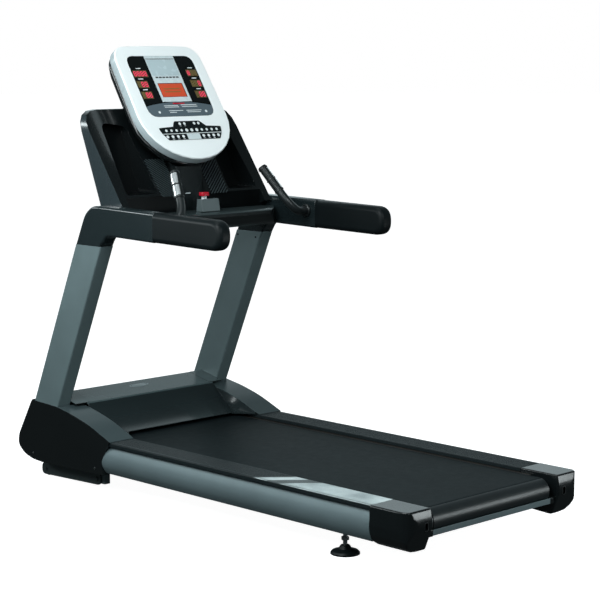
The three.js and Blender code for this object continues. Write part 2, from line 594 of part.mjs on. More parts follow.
function addConsoleShell() {
  const back = 3.3;
  const lipY = 455;
  const rearAt = (z, inset) => [shellRear(z) - inset, z];
  const body = common(
    prismX([[lipY, SHELL_LOW], [lipY, 1047], [shellFront(SHELL_TOP), SHELL_TOP], rearAt(SHELL_TOP, back),
      rearAt(SHELL_LOW, back)], -400, 400),
    prismY(shellProfile(0), 300, 760));
  const cheek = [[shellFront(SHELL_LOW + 20), SHELL_LOW + 20], [lipY + 4, 1053], [lipY + 4, SHELL_LOW + 8]];
  const slot = block(-SLOT_HALF, SLOT_HALF, 300, 760, 980, 1290);
  const hollow = cut(
    common(prismX([[lipY + 4, 995], [lipY + 4, 1047], [shellFront(1400) + 5, 1400], [800, 1400], [800, 995]],
      -400, 400), prismY(shellProfile(4), 300, 760)),
    tray(1, 4), tray(-1, 4), block(-SLOT_HALF - 3.5, SLOT_HALF + 3.5, 300, 760, 980, 1294));
  const shell = cut(join(body, prismX(cheek, 318, SHELL_HALF), prismX(cheek, -SHELL_HALF, -318)),
    hollow, tray(1, 0), tray(-1, 0), slot);
  add('console_shell', shell, blackGloss());

  const plate = [rearAt(SHELL_LOW, 3), rearAt(SHELL_TOP, 3), rearAt(SHELL_TOP, 0), rearAt(SHELL_LOW, 0)];
  const cover = cut(common(prismX(plate, -400, 400), prismY(shellProfile(0), 300, 760)), slot);
  add('console_back_cover', cover, blackPlastic());

  const low = CROSSBAR_TOP + GAP;
  const spine = [[482, low], [488, 1145.6], [496, 1146.2], [521, 1156], [543.6, 1177.5], [613.8, 1284],
    [615, 1286], rearAt(1286, 0), rearAt(low, 0)];
  const hollowSpine = [[486, 980], [491.9, 1142], [496, 1142.6], [523, 1152.4], [547, 1175.6], [616.5, 1283],
    rearAt(1283, 3), rearAt(980, 3)];
  add('console_mast', cut(prismX(spine, -60.5, 60.5), prismX(hollowSpine, -57.5, 57.5)), blackPlastic());
}

// ---- Console head ---------------------------------------------------------------------------------
// The head's outline, drawn in by inset: half an ellipse below, rounded corners above.
function headShape(inset) {
  const side = HEAD.half - inset;
  const top = HEAD.top - inset;
  const corner = Math.min(62, side * 0.45);
  const shape = new THREE.Shape();
  shape.absellipse(0, HEAD.low, side, HEAD.lowRadius - inset, Math.PI, 2 * Math.PI, false);
  shape.lineTo(side - 6, top - corner);
  shape.quadraticCurveTo(side - 11, top - 2, side - 11 - corner, top);
  shape.quadraticCurveTo(0, top + 4, corner + 11 - side, top);
  shape.quadraticCurveTo(11 - side, top - 2, 6 - side, top - corner);
  shape.closePath();
  return shape;
}

function addHead() {
  const head = new THREE.Group();
  head.position.copy(HEAD_ORIGIN);
  head.rotation.x = HEAD_TILT;
  treadmill.add(head);

  const display = (grow) => [[-155 - grow, -65 - grow, 40], [155 + grow, -65 - grow, 40],
    [155 + grow, 190 + grow, 34], [-155 - grow, 190 + grow, 34]];
  const screen = (grow) => rectangle(-56 - grow, 56 + grow, 18 - grow, 73 + grow);
  const bezel = cut(prismZ(headShape(0), -HEAD.depth, 0, 6, 8),
    prismZ(headShape(7), -HEAD.depth - 1, -4, 0, 8),
    prismZ(display(GAP), -6, 1));
  add('console_bezel', bezel, whitePlastic(), head);
  add('display_overlay', cut(prismZ(display(0), -3.4, -0.6), prismZ(screen(GAP), -5, 1)), blackGloss(), head);
  add('lcd_screen', prismZ(screen(0), -6, -1.2), orangeGlass(), head);
  add('console_board', block(-150, 150, -60, 180, -12, -10), finish(0x1d4a2c, 0.6, 0), head);

  const keypad = [[-59, -86, 6], [59, -86, 6], [83, -108], [152, -112, 6], [146, -136], [127, -163, 4],
    [-115, -163, 4], [-134, -136], [-142, -112, 6], [-73, -108]];
  add('keypad', prismZ(keypad, GAP, 1.8), blackPlastic(), head);

  const shells = (extra) => [[-HEAD.depth - GAP + extra, 3 + extra], [-60 + extra / 2, 8 + extra],
    [-82 + extra, 22 + extra], [-97 + extra, 44 + extra], [-104 + extra, 74 + extra]]
    .map(([n, inset]) => headShape(inset).getPoints(7).slice(0, -1).map((p) => new THREE.Vector3(p.x, p.y, n)));
  add('head_housing', cut(loft(shells(0)), loft(shells(4))), blackGloss(), head);
}

// ---- Pulse grips ----------------------------------------------------------------------------------
function addPulseGrips() {
  const top = new THREE.Vector3(208, 325, 1137);
  const low = new THREE.Vector3(240, 259, 1045);
  const path = new THREE.CurvePath();
  path.add(new THREE.LineCurve3(top, low));
  const turn = new THREE.Vector3(262, 213.6, 981.8);
  const away = new THREE.Vector3(308, 229.8, 980.3);
  const foot = new THREE.Vector3(346, 243.4, 979);
  path.add(new THREE.QuadraticBezierCurve3(low, turn, away));
  path.add(new THREE.LineCurve3(away, foot));
  const ring = new THREE.Shape().absarc(0, 0, 15, 0, 2 * Math.PI);
  const bar = outward(new THREE.ExtrudeGeometry(ring, { extrudePath: path, steps: 12, curveSegments: 6 }));
  const flange = barX(344, ELBOW.inner - GAP, foot.y, foot.z, 24, 20);
  addPair('pulse_grip', join(bar, flange), rubber);

  // A half sleeve on the outer side of the straight stretch.
  const shellArc = new THREE.Shape();
  shellArc.absarc(0, 0, 17.4, -1.25, 1.25, false);
  shellArc.absarc(0, 0, 15.4, 1.25, -1.25, true);
  const axis = low.clone().sub(top).normalize();
  const out = X.clone().addScaledVector(axis, -axis.x).normalize();
  const basis = new THREE.Matrix4().makeBasis(out, axis.clone().cross(out), axis);
  const start = top.clone().addScaledVector(axis, 8);
  const sleeve = extrude(shellArc, 94, 0, 6).applyMatrix4(basis).translate(start.x, start.y, start.z);
  addPair('pulse_sensor', outward(sleeve), chrome);
}

// ---- Incline lift ---------------------------------------------------------------------------------
function addLift() {
  const plate = [[917, 5, 20], [917, 49, 20], [571, 60, 20], [571, 17, 20]];
  const side = (sign) => {
    const pieces = [
      prismX(plate, 350, 356),
      barX(320, 351, LIFT_PIVOT.y, LIFT_PIVOT.z, 8),
      barX(316, 351, WHEEL.y, WHEEL.radius, 6, 14),
      barX(355, 360, LIFT_PIVOT.y, LIFT_PIVOT.z, 9, 6),
      barX(355, 360, WHEEL.y, WHEEL.radius, 8, 6),
    ];
    return sign > 0 ? pieces : pieces.map(mirrored);
  };
  const lug = (x) => prismX([[784, 30], [816, 30], [814, 66, 8], [786, 66, 8]], x, x + 6);
  const frame = join(barX(-351, 351, CRANK.y, 27, 12), ...side(1), ...side(-1),
    lug(CRANK.x - 18), lug(CRANK.x + 12), barX(CRANK.x - 14, CRANK.x + 14, CRANK.y, CRANK.z, 6, 14));
  add('lift_frame', frame, paint());

  const half = WHEEL.width / 2;
  const tyre = [[6.4, -half], [WHEEL.radius - 2, -half], [WHEEL.radius, 2 - half], [WHEEL.radius, half - 2],
    [WHEEL.radius - 2, half], [6.4, half], [6.4, -half]];
  [['right', 1], ['left', -1]].forEach(([name, sign]) => {
    const wheel = add(`wheel_${name}`, turned(tyre, 26), blackPlastic());
    wheel.rotation.z = -Math.PI / 2;
    wheel.position.set(sign * WHEEL.x, WHEEL.y, WHEEL.radius);
  });
}

function addActuator() {
  const drive = new THREE.Group();
  const reach = Math.hypot(CRANK.y - ACTUATOR_PIVOT.y, ACTUATOR_PIVOT.z - CRANK.z);
  drive.position.set(CRANK.x, ACTUATOR_PIVOT.y, ACTUATOR_PIVOT.z);
  drive.rotation.x = Math.atan2(CRANK.y - ACTUATOR_PIVOT.y, ACTUATOR_PIVOT.z - CRANK.z);
  treadmill.add(drive);

  const round = (radius, x, z0, z1, sides) =>
    outward(new THREE.CylinderGeometry(radius, radius, z1 - z0, sides)
      .rotateX(Math.PI / 2).translate(x, 0, (z0 + z1) / 2));
  const low = 18 - reach;
  const body = cut(
    join(prismZ(rectangle(-28, 86, -28, 28, 8), -30, 26), round(17, 0, low, -29, 24), round(26, 57, -122, -29, 28),
      barX(60.5 - CRANK.x, 195.5 - CRANK.x, 0, 0, 8, 16)),
    round(10.4, 0, low - 1, -12, 20));
  add('incline_actuator', body, blackPlastic(), drive);

  const eye = barX(-10, 10, 0, -reach, 14, 24);
  const screw = cut(join(round(9.6, 0, 12 - reach, -14, 16), eye), barX(-11, 11, 0, -reach, 9.5, 20));
  add('incline_screw', screw, steel(), drive);
}

addFeet();
addFrame();
addMotorTray();
addDeckTrim();
addRearCaps();
addBeltDrive();
addMotorBay();
addHood();
addFairings();
addUprights();
addCrossbar();
addConsoleShell();
addHead();
addPulseGrips();
addLift();
addActuator();

export default treadmill;
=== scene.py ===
"""Finishes, fine parts, studio and camera for the treadmill. Metres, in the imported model's frame."""

import json
import math

import bmesh
import bpy
from mathutils import Matrix, Vector


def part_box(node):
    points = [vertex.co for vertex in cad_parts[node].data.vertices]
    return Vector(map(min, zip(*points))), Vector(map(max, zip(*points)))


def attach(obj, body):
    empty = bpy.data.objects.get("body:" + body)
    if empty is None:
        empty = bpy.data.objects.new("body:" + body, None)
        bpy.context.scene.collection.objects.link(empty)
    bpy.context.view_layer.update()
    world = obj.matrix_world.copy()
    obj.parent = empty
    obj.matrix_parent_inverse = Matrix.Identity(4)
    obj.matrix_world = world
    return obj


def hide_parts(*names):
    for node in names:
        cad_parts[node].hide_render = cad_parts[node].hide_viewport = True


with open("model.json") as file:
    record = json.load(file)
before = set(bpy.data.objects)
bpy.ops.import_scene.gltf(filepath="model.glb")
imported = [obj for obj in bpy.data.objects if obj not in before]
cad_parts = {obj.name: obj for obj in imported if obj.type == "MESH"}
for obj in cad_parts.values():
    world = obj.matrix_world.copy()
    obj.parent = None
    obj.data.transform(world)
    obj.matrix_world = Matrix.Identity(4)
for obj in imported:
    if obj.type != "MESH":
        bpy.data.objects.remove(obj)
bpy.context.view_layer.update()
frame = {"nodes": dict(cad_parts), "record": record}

MM = 0.001
SIDES = (("right", 1), ("left", -1))

COOL_WHITE = (0.90, 0.985, 1.0)         # colour of every studio light
BACKDROP = 0.8                          # strength of the white wall, as the machine reflects it
BACKDROP_TINT = (0.80, 0.96, 1.0)
AMBIENT = 0.05                          # light from every other direction

# The flat front of the console shell: a point on it in millimetres, the way up it, and its normal
SHELL_POINT = Vector((0, 450, 1053))
SHELL_RISE = Vector((0, 0.7, 1)).normalized()
SHELL_FRONT = Vector((1, 0, 0)).cross(SHELL_RISE)

# The ends of the straight part of the right pulse bar
PULSE_TOP = Vector((208, 316, 1137))
PULSE_LOW = Vector((240, 250, 1045))

dressed = set()                         # CAD nodes that have their look, or a piece in their place


# ---- Node tools ----------------------------------------------------------------------------------
def feed(tree, socket, source):
    """Links a socket to another one, or sets its value."""
    if isinstance(source, bpy.types.NodeSocket):
        tree.links.new(source, socket)
    else:
        socket.default_value = source


def ramp(tree, value, low, high, start=0.0, end=1.0):
    """A smooth step: start where value is at low, end where it is at high."""
    node = tree.nodes.new("ShaderNodeMapRange")
    node.interpolation_type = "SMOOTHSTEP"
    sources = {"Value": value, "From Min": low, "From Max": high, "To Min": start, "To Max": end}
    for name, source in sources.items():
        feed(tree, node.inputs[name], source)
    return node.outputs["Result"]


def combine(tree, operation, first, second):
    node = tree.nodes.new("ShaderNodeMath")
    node.operation = operation
    feed(tree, node.inputs[0], first)
    feed(tree, node.inputs[1], second)
    return node.outputs["Value"]


def blend(tree, factor, first, second):
    """The colour first where factor is 0, turning into the colour second where it is 1."""
    node = tree.nodes.new("ShaderNodeMix")
    node.data_type = "RGBA"
    tree.links.new(factor, node.inputs["Factor"])
    for name, value in (("A", first), ("B", second)):
        socket = next(s for s in node.inputs if s.name == name and s.type == "RGBA")
        feed(tree, socket, value if isinstance(value, bpy.types.NodeSocket) else (*value, 1))
    return next(s for s in node.outputs if s.type == "RGBA")


# ---- Camera, light and floor ---------------------------------------------------------------------
def aim(obj, target):
    obj.rotation_euler = (Vector(target) - obj.location).to_track_quat("-Z", "Y").to_euler()


def add_camera():
    data = bpy.data.cameras.new("camera")
    data.sensor_width = 36
    data.lens = 111.18
    data.clip_end = 200
    camera = bpy.data.objects.new("camera", data)
    camera.location = (-4.3789, -4.5450, 1.557)
    camera.rotation_euler = (math.radians(90 - 7.6885), 0, math.radians(-44.5066))
    bpy.context.scene.collection.objects.link(camera)
    bpy.context.scene.camera = camera


def add_light(name, place, target, size, power):
    data = bpy.data.lights.new(name, "AREA")
    data.shape = "RECTANGLE"
    data.size, data.size_y = size
    data.energy = power
    data.color = COOL_WHITE
    light = bpy.data.objects.new(name, data)
    light.location = place
    aim(light, target)
    bpy.context.scene.collection.objects.link(light)


def add_backdrop():
    """White behind the machine, dark overhead and underfoot, and plain white for the camera itself."""
    world = bpy.data.worlds.new("studio")
    bpy.context.scene.world = world
    world.use_nodes = True
    tree = world.node_tree
    direction = tree.nodes.new("ShaderNodeTexCoord").outputs["Generated"]
    behind = tree.nodes.new("ShaderNodeVectorMath")
    behind.operation = "DOT_PRODUCT"
    behind.inputs[1].default_value = (0.707, 0.707, 0)
    tree.links.new(direction, behind.inputs[0])
    apart = tree.nodes.new("ShaderNodeSeparateXYZ")
    tree.links.new(direction, apart.inputs["Vector"])
    height = apart.outputs["Z"]
    band = combine(tree, "MULTIPLY", ramp(tree, height, -0.06, 0.03), ramp(tree, height, 0.38, 0.62, 1, 0))
    wall = combine(tree, "MULTIPLY", band, ramp(tree, behind.outputs["Value"], 0.35, 0.8, 0.12, 1))
    glow = combine(tree, "ADD", combine(tree, "MULTIPLY", wall, BACKDROP), AMBIENT)
    for_camera = tree.nodes.new("ShaderNodeLightPath").outputs["Is Camera Ray"]
    strength = tree.nodes.new("ShaderNodeMix")
    strength.inputs["B"].default_value = 1.0
    tree.links.new(for_camera, strength.inputs["Factor"])
    tree.links.new(glow, strength.inputs["A"])
    sky = tree.nodes["Background"]
    tree.links.new(strength.outputs["Result"], sky.inputs["Strength"])
    tree.links.new(blend(tree, for_camera, BACKDROP_TINT, (1, 1, 1)), sky.inputs["Color"])


def add_studio():
    add_light("key", (-2.4, -0.7, 3.2), (0, 0.3, 1.0), (1.7, 1.7), 84)
    add_light("left_soft", (-1.50, 0.0, 1.30), (-0.3, -0.1, 0.6), (2.9, 0.9), 20)
    add_light("left_strip", (-3.4, 4.0, 2.35), (0, 0.3, 0.7), (2.6, 0.5), 62)
    add_light("overhead", (0.2, 0.6, 4.6), (0, 0.2, 0), (2.2, 2.2), 30)
    add_light("user_side", (-1.2, -4.6, 3.3), (0, 0.3, 1.2), (1.6, 1.2), 74)
    add_light("tail_fill", (1.5, -2.4, 0.42), (0, -0.95, 0.18), (0.9, 0.5), 12)
    add_backdrop()
    add_floor()
    bpy.context.scene.view_settings.view_transform = "Standard"


def add_floor():
    """White ground for the camera alone, so that the machine doesn't reflect it."""
    bm = bmesh.new()
    bmesh.ops.create_circle(bm, cap_ends=True, segments=96, radius=60)
    mesh = bpy.data.meshes.new("studio_floor")
    bm.to_mesh(mesh)
    floor = bpy.data.objects.new("studio_floor", mesh)
    bpy.context.scene.collection.objects.link(floor)
    floor.visible_glossy = False
    floor.visible_diffuse = False
    white = look("floor_white", (0.5, 0.51, 0.52), 0.9, tint=0.01, smudge=0.02, glow=(1.0, 1.0, 1.0, 0.97))
    mesh.materials.append(white.material)


# ---- Materials -----------------------------------------------------------------------------------
class Finish:
    """A material, with the few node tools that every look is built from."""

    def __init__(self, name):
        self.material = bpy.data.materials.new(name)
        self.material.use_nodes = True
        self.tree = self.material.node_tree
        self.shader = self.tree.nodes["Principled BSDF"]
        self.place = self.tree.nodes.new("ShaderNodeTexCoord").outputs["Object"]

    def paint(self, color):
        self.tree.links.new(color, self.shader.inputs["Base Color"])

    def color(self):
        return self.shader.inputs["Base Color"].links[0].from_socket

    def stretched(self, scale):
        """The object's own coordinates, scaled along each axis."""
        node = self.tree.nodes.new("ShaderNodeMapping")
        node.inputs["Scale"].default_value = scale
        self.tree.links.new(self.place, node.inputs["Vector"])
        return node.outputs["Vector"]

    def noise(self, scale, detail, source=None):
        node = self.tree.nodes.new("ShaderNodeTexNoise")
        node.inputs["Scale"].default_value = scale
        node.inputs["Detail"].default_value = detail
        self.tree.links.new(self.place if source is None else source, node.inputs["Vector"])
        return node.outputs["Fac"]

    def spread(self, source, low, high):
        """A noise brought to run from low to high."""
        node = self.tree.nodes.new("ShaderNodeMapRange")
        for name, value in (("From Min", 0.3), ("From Max", 0.7), ("To Min", low), ("To Max", high)):
            node.inputs[name].default_value = value
        self.tree.links.new(source, node.inputs["Value"])
        return node.outputs["Result"]

    def bump(self, height, strength, distance):
        node = self.tree.nodes.new("ShaderNodeBump")
        node.inputs["Strength"].default_value = strength
        node.inputs["Distance"].default_value = distance
        self.tree.links.new(height, node.inputs["Height"])
        previous = self.shader.inputs["Normal"].links
        if previous:
            self.tree.links.new(previous[0].from_socket, node.inputs["Normal"])
        self.tree.links.new(node.outputs["Normal"], self.shader.inputs["Normal"])


def look(name, color, rough, metal=0.0, tint=0.08, smudge=0.05, grain=0.0, brushed=None, coat=0.0,
         glow=None, shine=0.5):
    """A finish: its colour drifts over hand-sized patches, its gloss over finger-sized ones, and its
    grain or brushing is a bump. brushed is the lengths in metres of one streak along X, Y and Z, and
    glow is the colour and the strength of its own light."""
    made = Finish(name)
    inputs = made.shader.inputs
    inputs["Metallic"].default_value = metal
    inputs["Coat Weight"].default_value = coat
    inputs["Coat Roughness"].default_value = 0.08
    inputs["Specular IOR Level"].default_value = shine
    dark = [c * (1 - tint) for c in color]
    pale = [min(1, c * (1 + tint)) for c in color]
    made.paint(blend(made.tree, made.spread(made.noise(6, 5), 0, 1), dark, pale))
    gloss = made.spread(made.noise(38, 6), max(0.03, rough - smudge), rough + smudge)
    made.tree.links.new(gloss, inputs["Roughness"])
    if grain:
        made.bump(made.noise(1 / 0.0007, 2), grain, 0.0002)
    if brushed:
        made.bump(made.noise(1, 3, made.stretched([1 / length for length in brushed])), 0.12, 0.0002)
    if glow:
        inputs["Emission Color"].default_value = (*glow[:3], 1)
        inputs["Emission Strength"].default_value = glow[3]
    return made


def belt_look(name, rough, shine):
    """Black PVC belting: a fine square lattice of dimples, with long pale streaks of wear."""
    made = look(name, (0.0080, 0.0120, 0.0135), rough, tint=0.15, smudge=0.02, shine=shine)
    lattice = made.tree.nodes.new("ShaderNodeTexVoronoi")
    lattice.inputs["Scale"].default_value = 1 / 0.0042
    lattice.inputs["Randomness"].default_value = 0.12
    made.tree.links.new(made.place, lattice.inputs["Vector"])
    dots = lattice.outputs["Distance"]
    wear = made.spread(made.noise(1, 4, made.stretched((55, 2.2, 2.2))), 0, 0.5)
    worn = blend(made.tree, wear, made.color(), (0.0125, 0.0175, 0.0190))
    made.paint(blend(made.tree, made.spread(dots, 0, 0.65), worn, (0.0045, 0.0065, 0.0072)))
    made.bump(dots, 0.35, 0.0004)
    return made


def rail_look(name, plate):
    """Black rail top. With a plate, its rear end gets a painted reflection in bright metal, crossed by one
    dark slanted stripe of painted shadow.
    """
    made = look(name, (0.0105, 0.0150, 0.0165), 0.40, tint=0.05, smudge=0.004, shine=0.07)
    if not plate:
        return made
    tree = made.tree
    apart = tree.nodes.new("ShaderNodeSeparateXYZ")
    tree.links.new(made.place, apart.inputs["Vector"])
    # The bright area is a painted reflection on the top face, and the slanted stripe across it is a painted
    # shadow
    slanted = combine(tree, "ADD", apart.outputs["Y"], combine(tree, "MULTIPLY", apart.outputs["X"], 0.9))
    area = ramp(tree, slanted, -0.655, -0.680)
    shadow_front = ramp(tree, slanted, -0.712, -0.728)
    shadow_back = ramp(tree, slanted, -0.792, -0.776)
    painted_shadow = combine(tree, "MULTIPLY", shadow_front, shadow_back)
    painted_glare = combine(tree, "SUBTRACT", area, combine(tree, "MULTIPLY", painted_shadow, 0.8))
    upper_face = ramp(tree, apart.outputs["Z"], 0.1965, 0.1975)
    share = combine(tree, "MULTIPLY", upper_face, painted_glare)
    glare_colour = blend(tree, made.spread(made.noise(9, 4), 0, 1), (0.20, 0.235, 0.24), (0.40, 0.45, 0.455))
    made.paint(blend(tree, share, made.color(), glare_colour))
    tree.links.new(combine(tree, "MULTIPLY", share, 0.7), made.shader.inputs["Metallic"])
    return made


def make_looks():
    made = {
        "frame_paint": look("gunmetal_paint", (0.125, 0.170, 0.178), 0.42, 0.25, smudge=0.03, shine=0.35),
        "trim_aluminium": look("anodised_trim", (0.112, 0.150, 0.160), 0.50, 0.2, smudge=0.02, shine=0.3),
        "machined_steel": look("turned_steel", (0.30, 0.32, 0.33), 0.32, 0.9, brushed=(0.0015, 0.05, 0.05)),
        "chrome_plate": look("chrome_plate", (0.86, 0.89, 0.90), 0.14, 0.7, tint=0.02, smudge=0.03),
        "black_gloss": look("gloss_black", (0.0036, 0.0050, 0.0053), 0.16, tint=0.1, smudge=0.01, coat=0.3),
        "black_plastic": look("satin_black", (0.0095, 0.0125, 0.0132), 0.34, tint=0.1, smudge=0.02),
        "grey_plastic": look("satin_grey", (0.050, 0.073, 0.077), 0.27, tint=0.03, smudge=0.003, coat=0.1),
        "white_plastic": look("pearl_white", (0.86, 0.895, 0.90), 0.30, tint=0.006, smudge=0.01),
        "grip_rubber": look("grip_rubber", (0.0046, 0.0070, 0.0078), 0.40, smudge=0.01, shine=0.13),
        "belt_rubber": belt_look("belt_pvc", 0.46, 0.014),
        "deck_laminate": look("deck_laminate", (0.022, 0.020, 0.018), 0.4, tint=0.2,
                              brushed=(0.004, 0.3, 0.004)),
        "motor_casing": look("motor_casing", (0.03, 0.033, 0.035), 0.45, 0.2, grain=0.3),
        "red_plastic": look("key_red", (0.50, 0.006, 0.022), 0.28, coat=0.3),
        "lcd_orange": look("lcd_amber", (0.50, 0.070, 0.030), 0.22,
                           tint=0.06, glow=(0.8, 0.09, 0.04, 0.13)),
        "circuit_board": look("solder_mask", (0.03, 0.12, 0.05), 0.4, grain=0.3),
    }
    made["belt_bend"] = belt_look("belt_bend", 0.38, 0.5)
    made["cap_black"] = look("cap_black", (0.0050, 0.0070, 0.0076), 0.20, smudge=0.02, shine=0.42)
    made["elbow_grey"] = look("elbow_satin", (0.0105, 0.0165, 0.0182), 0.18,
                              tint=0.04, smudge=0.008, coat=0.2)
    made["upper_black"] = look("console_black", (0.0042, 0.0058, 0.0063), 0.18,
                               tint=0.1, smudge=0.006, coat=0.6)
    made["lift_paint"] = look("lift_paint", (0.045, 0.060, 0.062), 0.4, 0.2, smudge=0.03)
    # A lighter black for the shell's end faces: painted sheen where they face the side light
    made["shell_cheek_painted_sheen"] = look("shell_cheek_painted_sheen", (0.019, 0.028, 0.032), 0.22, tint=0.05, smudge=0.01, coat=0.2)
    made["mast_black"] = look("mast_black", (0.0085, 0.0120, 0.0130), 0.24,
                              tint=0.06, smudge=0.02, coat=0.1)
    # A deeper black for the tray hollows: painted shade in the recesses
    made["tray_painted_shade"] = look("tray_painted_shade", (0.0025, 0.0034, 0.0037), 0.30, smudge=0.01, shine=0.06)
    made["holder_grey"] = look("holder_grey", (0.105, 0.130, 0.135), 0.30, tint=0.04, smudge=0.02)
    # Lighter grey for the crossbar's top: partly its own grey cover, partly painted sheen
    made["crossbar_top_painted_sheen"] = look("crossbar_top_painted_sheen", (0.030, 0.042, 0.044), 0.22,
                                tint=0.06, smudge=0.02, coat=0.2)
    # A grey for the white bezel's sides: painted shade
    made["bezel_side_painted_shade"] = look("bezel_side_painted_shade", (0.36, 0.42, 0.44), 0.28, tint=0.02, smudge=0.01)
    # A darker copy of the hood's plastic for the scoop and the fairing cheeks: painted shade
    made["scoop_painted_shade"] = look("scoop_painted_shade", (0.0125, 0.0185, 0.0200), 0.24,
                               tint=0.03, smudge=0.003, shine=0.26)
    made["roof_grey"] = look("roof_grey", (0.040, 0.057, 0.061), 0.30, tint=0.03, smudge=0.003, shine=0.30)
    made["slat_grey"] = look("slat_grey", (0.032, 0.045, 0.048), 0.30, tint=0.05, smudge=0.02)
    made["badge_grey"] = look("badge_grey", (0.17, 0.21, 0.22), 0.26, tint=0.03, smudge=0.004)
    # Near-black for slots, grille depths and holes: painted shade
    made["hollow_painted_shade"] = look("hollow_painted_shade", (0.002, 0.002, 0.003), 0.5, shine=0.1)
    made["slate"] = look("slate_panel", (0.085, 0.115, 0.135), 0.35, tint=0.04)
    made["silver_panel"] = look("silver_panel", (0.58, 0.65, 0.67), 0.28, tint=0.02)
    made["ice_panel"] = look("ice_panel", (0.45, 0.55, 0.58), 0.25, tint=0.02)
    made["print_white"] = look("print_white", (0.74, 0.78, 0.79), 0.45, tint=0.02)
    made["print_black"] = look("print_black", (0.008, 0.010, 0.011), 0.4)
    made["olive_window"] = look("led_window", (0.075, 0.055, 0.020), 0.3, glow=(0.12, 0.09, 0.03, 0.08))
    made["led_red"] = look("led_red", (0.66, 0.03, 0.08), 0.35, glow=(1.0, 0.06, 0.16, 0.42))
    made["led_unlit"] = look("led_unlit", (0.15, 0.11, 0.04), 0.4)
    made["lcd_ink"] = look("lcd_ink", (0.22, 0.12, 0.03), 0.35)
    made["key_face"] = look("key_face", (0.78, 0.82, 0.83), 0.4, tint=0.02, grain=0.1)
    made["foot_rail_right"] = rail_look("tread_right", False)
    # The left rail's top carries the painted reflection and the painted shadow
    made["foot_rail_left"] = rail_look("tread_left_painted_glare", True)
    return {name: finish.material for name, finish in made.items()}


# ---- Mesh tools ----------------------------------------------------------------------------------
def soften_edges(obj, width):
    if width:
        bevel = obj.modifiers.new("rounded_edges", "BEVEL")
        bevel.width = width
        bevel.segments = 2
        bevel.limit_method = "ANGLE"
        bevel.angle_limit = math.radians(28)
        bevel.miter_outer = "MITER_ARC"
    normals = obj.modifiers.new("normals", "WEIGHTED_NORMAL")
    normals.weight = 50
    normals.keep_sharp = True


def dress(node, finish, width):
    """A CAD node keeps its shape: its facets join into whole faces, and its edges get a small radius."""
    obj = frame["nodes"][node]
    mesh = obj.data
    mesh.materials.clear()
    mesh.materials.append(looks[finish])
    mesh.polygons.foreach_set("use_smooth", [True] * len(mesh.polygons))
    weld = obj.modifiers.new("weld", "WELD")
    weld.merge_threshold = 0.00002
    whole = obj.modifiers.new("whole_faces", "DECIMATE")
    whole.decimate_type = "DISSOLVE"
    whole.angle_limit = math.radians(0.8)
    soften_edges(obj, width)
    dressed.add(node)


def paint_faces(obj, finish, chosen):
    """A second finish on the faces that chosen picks by their normal and their middle."""
    mesh = obj.data
    mesh.materials.append(looks[finish])
    turn = obj.matrix_world
    for face in mesh.polygons:
        if chosen(turn.to_3x3() @ face.normal, turn @ face.center):
            face.material_index = len(mesh.materials) - 1


def mould(node, finish, voxel, rounds):
    """A moulded rubber node: remeshed finely and relaxed, so that no crease is left on it."""
    obj = frame["nodes"][node]
    mesh = obj.data
    mesh.materials.clear()
    mesh.materials.append(looks[finish])
    remesh = obj.modifiers.new("even_mesh", "REMESH")
    remesh.mode = "VOXEL"
    remesh.voxel_size = voxel
    remesh.use_smooth_shade = True
    relax = obj.modifiers.new("relax", "SMOOTH")
    relax.factor = 0.5
    relax.iterations = rounds
    dressed.add(node)


def piece(name, bm, finish, body, width=0.0, smooth=True):
    """One finished solid that rides on a body, with its edges rounded by width in metres."""
    bmesh.ops.recalc_face_normals(bm, faces=bm.faces)
    mesh = bpy.data.meshes.new(name)
    bm.to_mesh(mesh)
    bm.free()
    mesh.materials.append(looks[finish])
    mesh.polygons.foreach_set("use_smooth", [smooth] * len(mesh.polygons))
    obj = bpy.data.objects.new(name, mesh)
    bpy.context.scene.collection.objects.link(obj)
    if smooth:
        soften_edges(obj, width)
    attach(obj, body)
    return obj


def skin(bm, rings):
    """Faces between closed rings of corners, and a cap at each end."""
    count = len(rings[0])
    for low, high in zip(rings, rings[1:]):
        for i in range(count):
            k = (i + 1) % count
            bm.faces.new((low[i], low[k], high[k], high[i]))
    bm.faces.new(rings[-1])
    bm.faces.new(list(reversed(rings[0])))


def ring(bm, place, outline, level):
    """Corners over an outline in millimetres, at a level above the plane that place puts in the frame."""
    return [bm.verts.new(place @ (MM * Vector((x, y, level)))) for x, y in outline]


def prisms(bm, outlines, low, high, place):
    """Solids over outlines, from the level low to the level high."""
    for outline in outlines:
        skin(bm, [ring(bm, place, outline, level) for level in (low, high)])


def plates(name, outlines, low, high, place, finish, body, width=0.0):
    bm = bmesh.new()
    prisms(bm, outlines, low, high, place)
    return piece(name, bm, finish, body, width, smooth=width > 0)


def turned(bm, profile, place, steps=24, start=0.0, turn=2 * math.pi):
    """A profile of (radius, height) in millimetres turned about the local Z axis. A part turn is closed."""
    full = turn > 2 * math.pi - 1e-6
    count = steps if full else steps + 1
    columns = []
    for i in range(count):
        angle = start + turn * i / steps
        columns.append([bm.verts.new(place @ (MM * Vector((r * math.cos(angle), r * math.sin(angle), h))))
                        for r, h in profile])
    for i in range(steps):
        a, b = columns[i], columns[(i + 1) % count]
        for k in range(len(profile)):
            m = (k + 1) % len(profile)
            bm.faces.new((a[k], b[k], b[m], a[m]))
    if not full:
        bm.faces.new(list(reversed(columns[0])))
        bm.faces.new(columns[-1])


def rounded(x0, x1, y0, y1, reach, steps=4):
    """A rectangle with round corners of the radius reach."""
    points = []
    for cx, cy, turn in ((x1 - reach, y0 + reach, -0.5), (x1 - reach, y1 - reach, 0),
                         (x0 + reach, y1 - reach, 0.5), (x0 + reach, y0 + reach, 1)):
        for i in range(steps + 1):
            angle = math.pi * (turn + 0.5 * i / steps)
            points.append((cx + reach * math.cos(angle), cy + reach * math.sin(angle)))
    return points


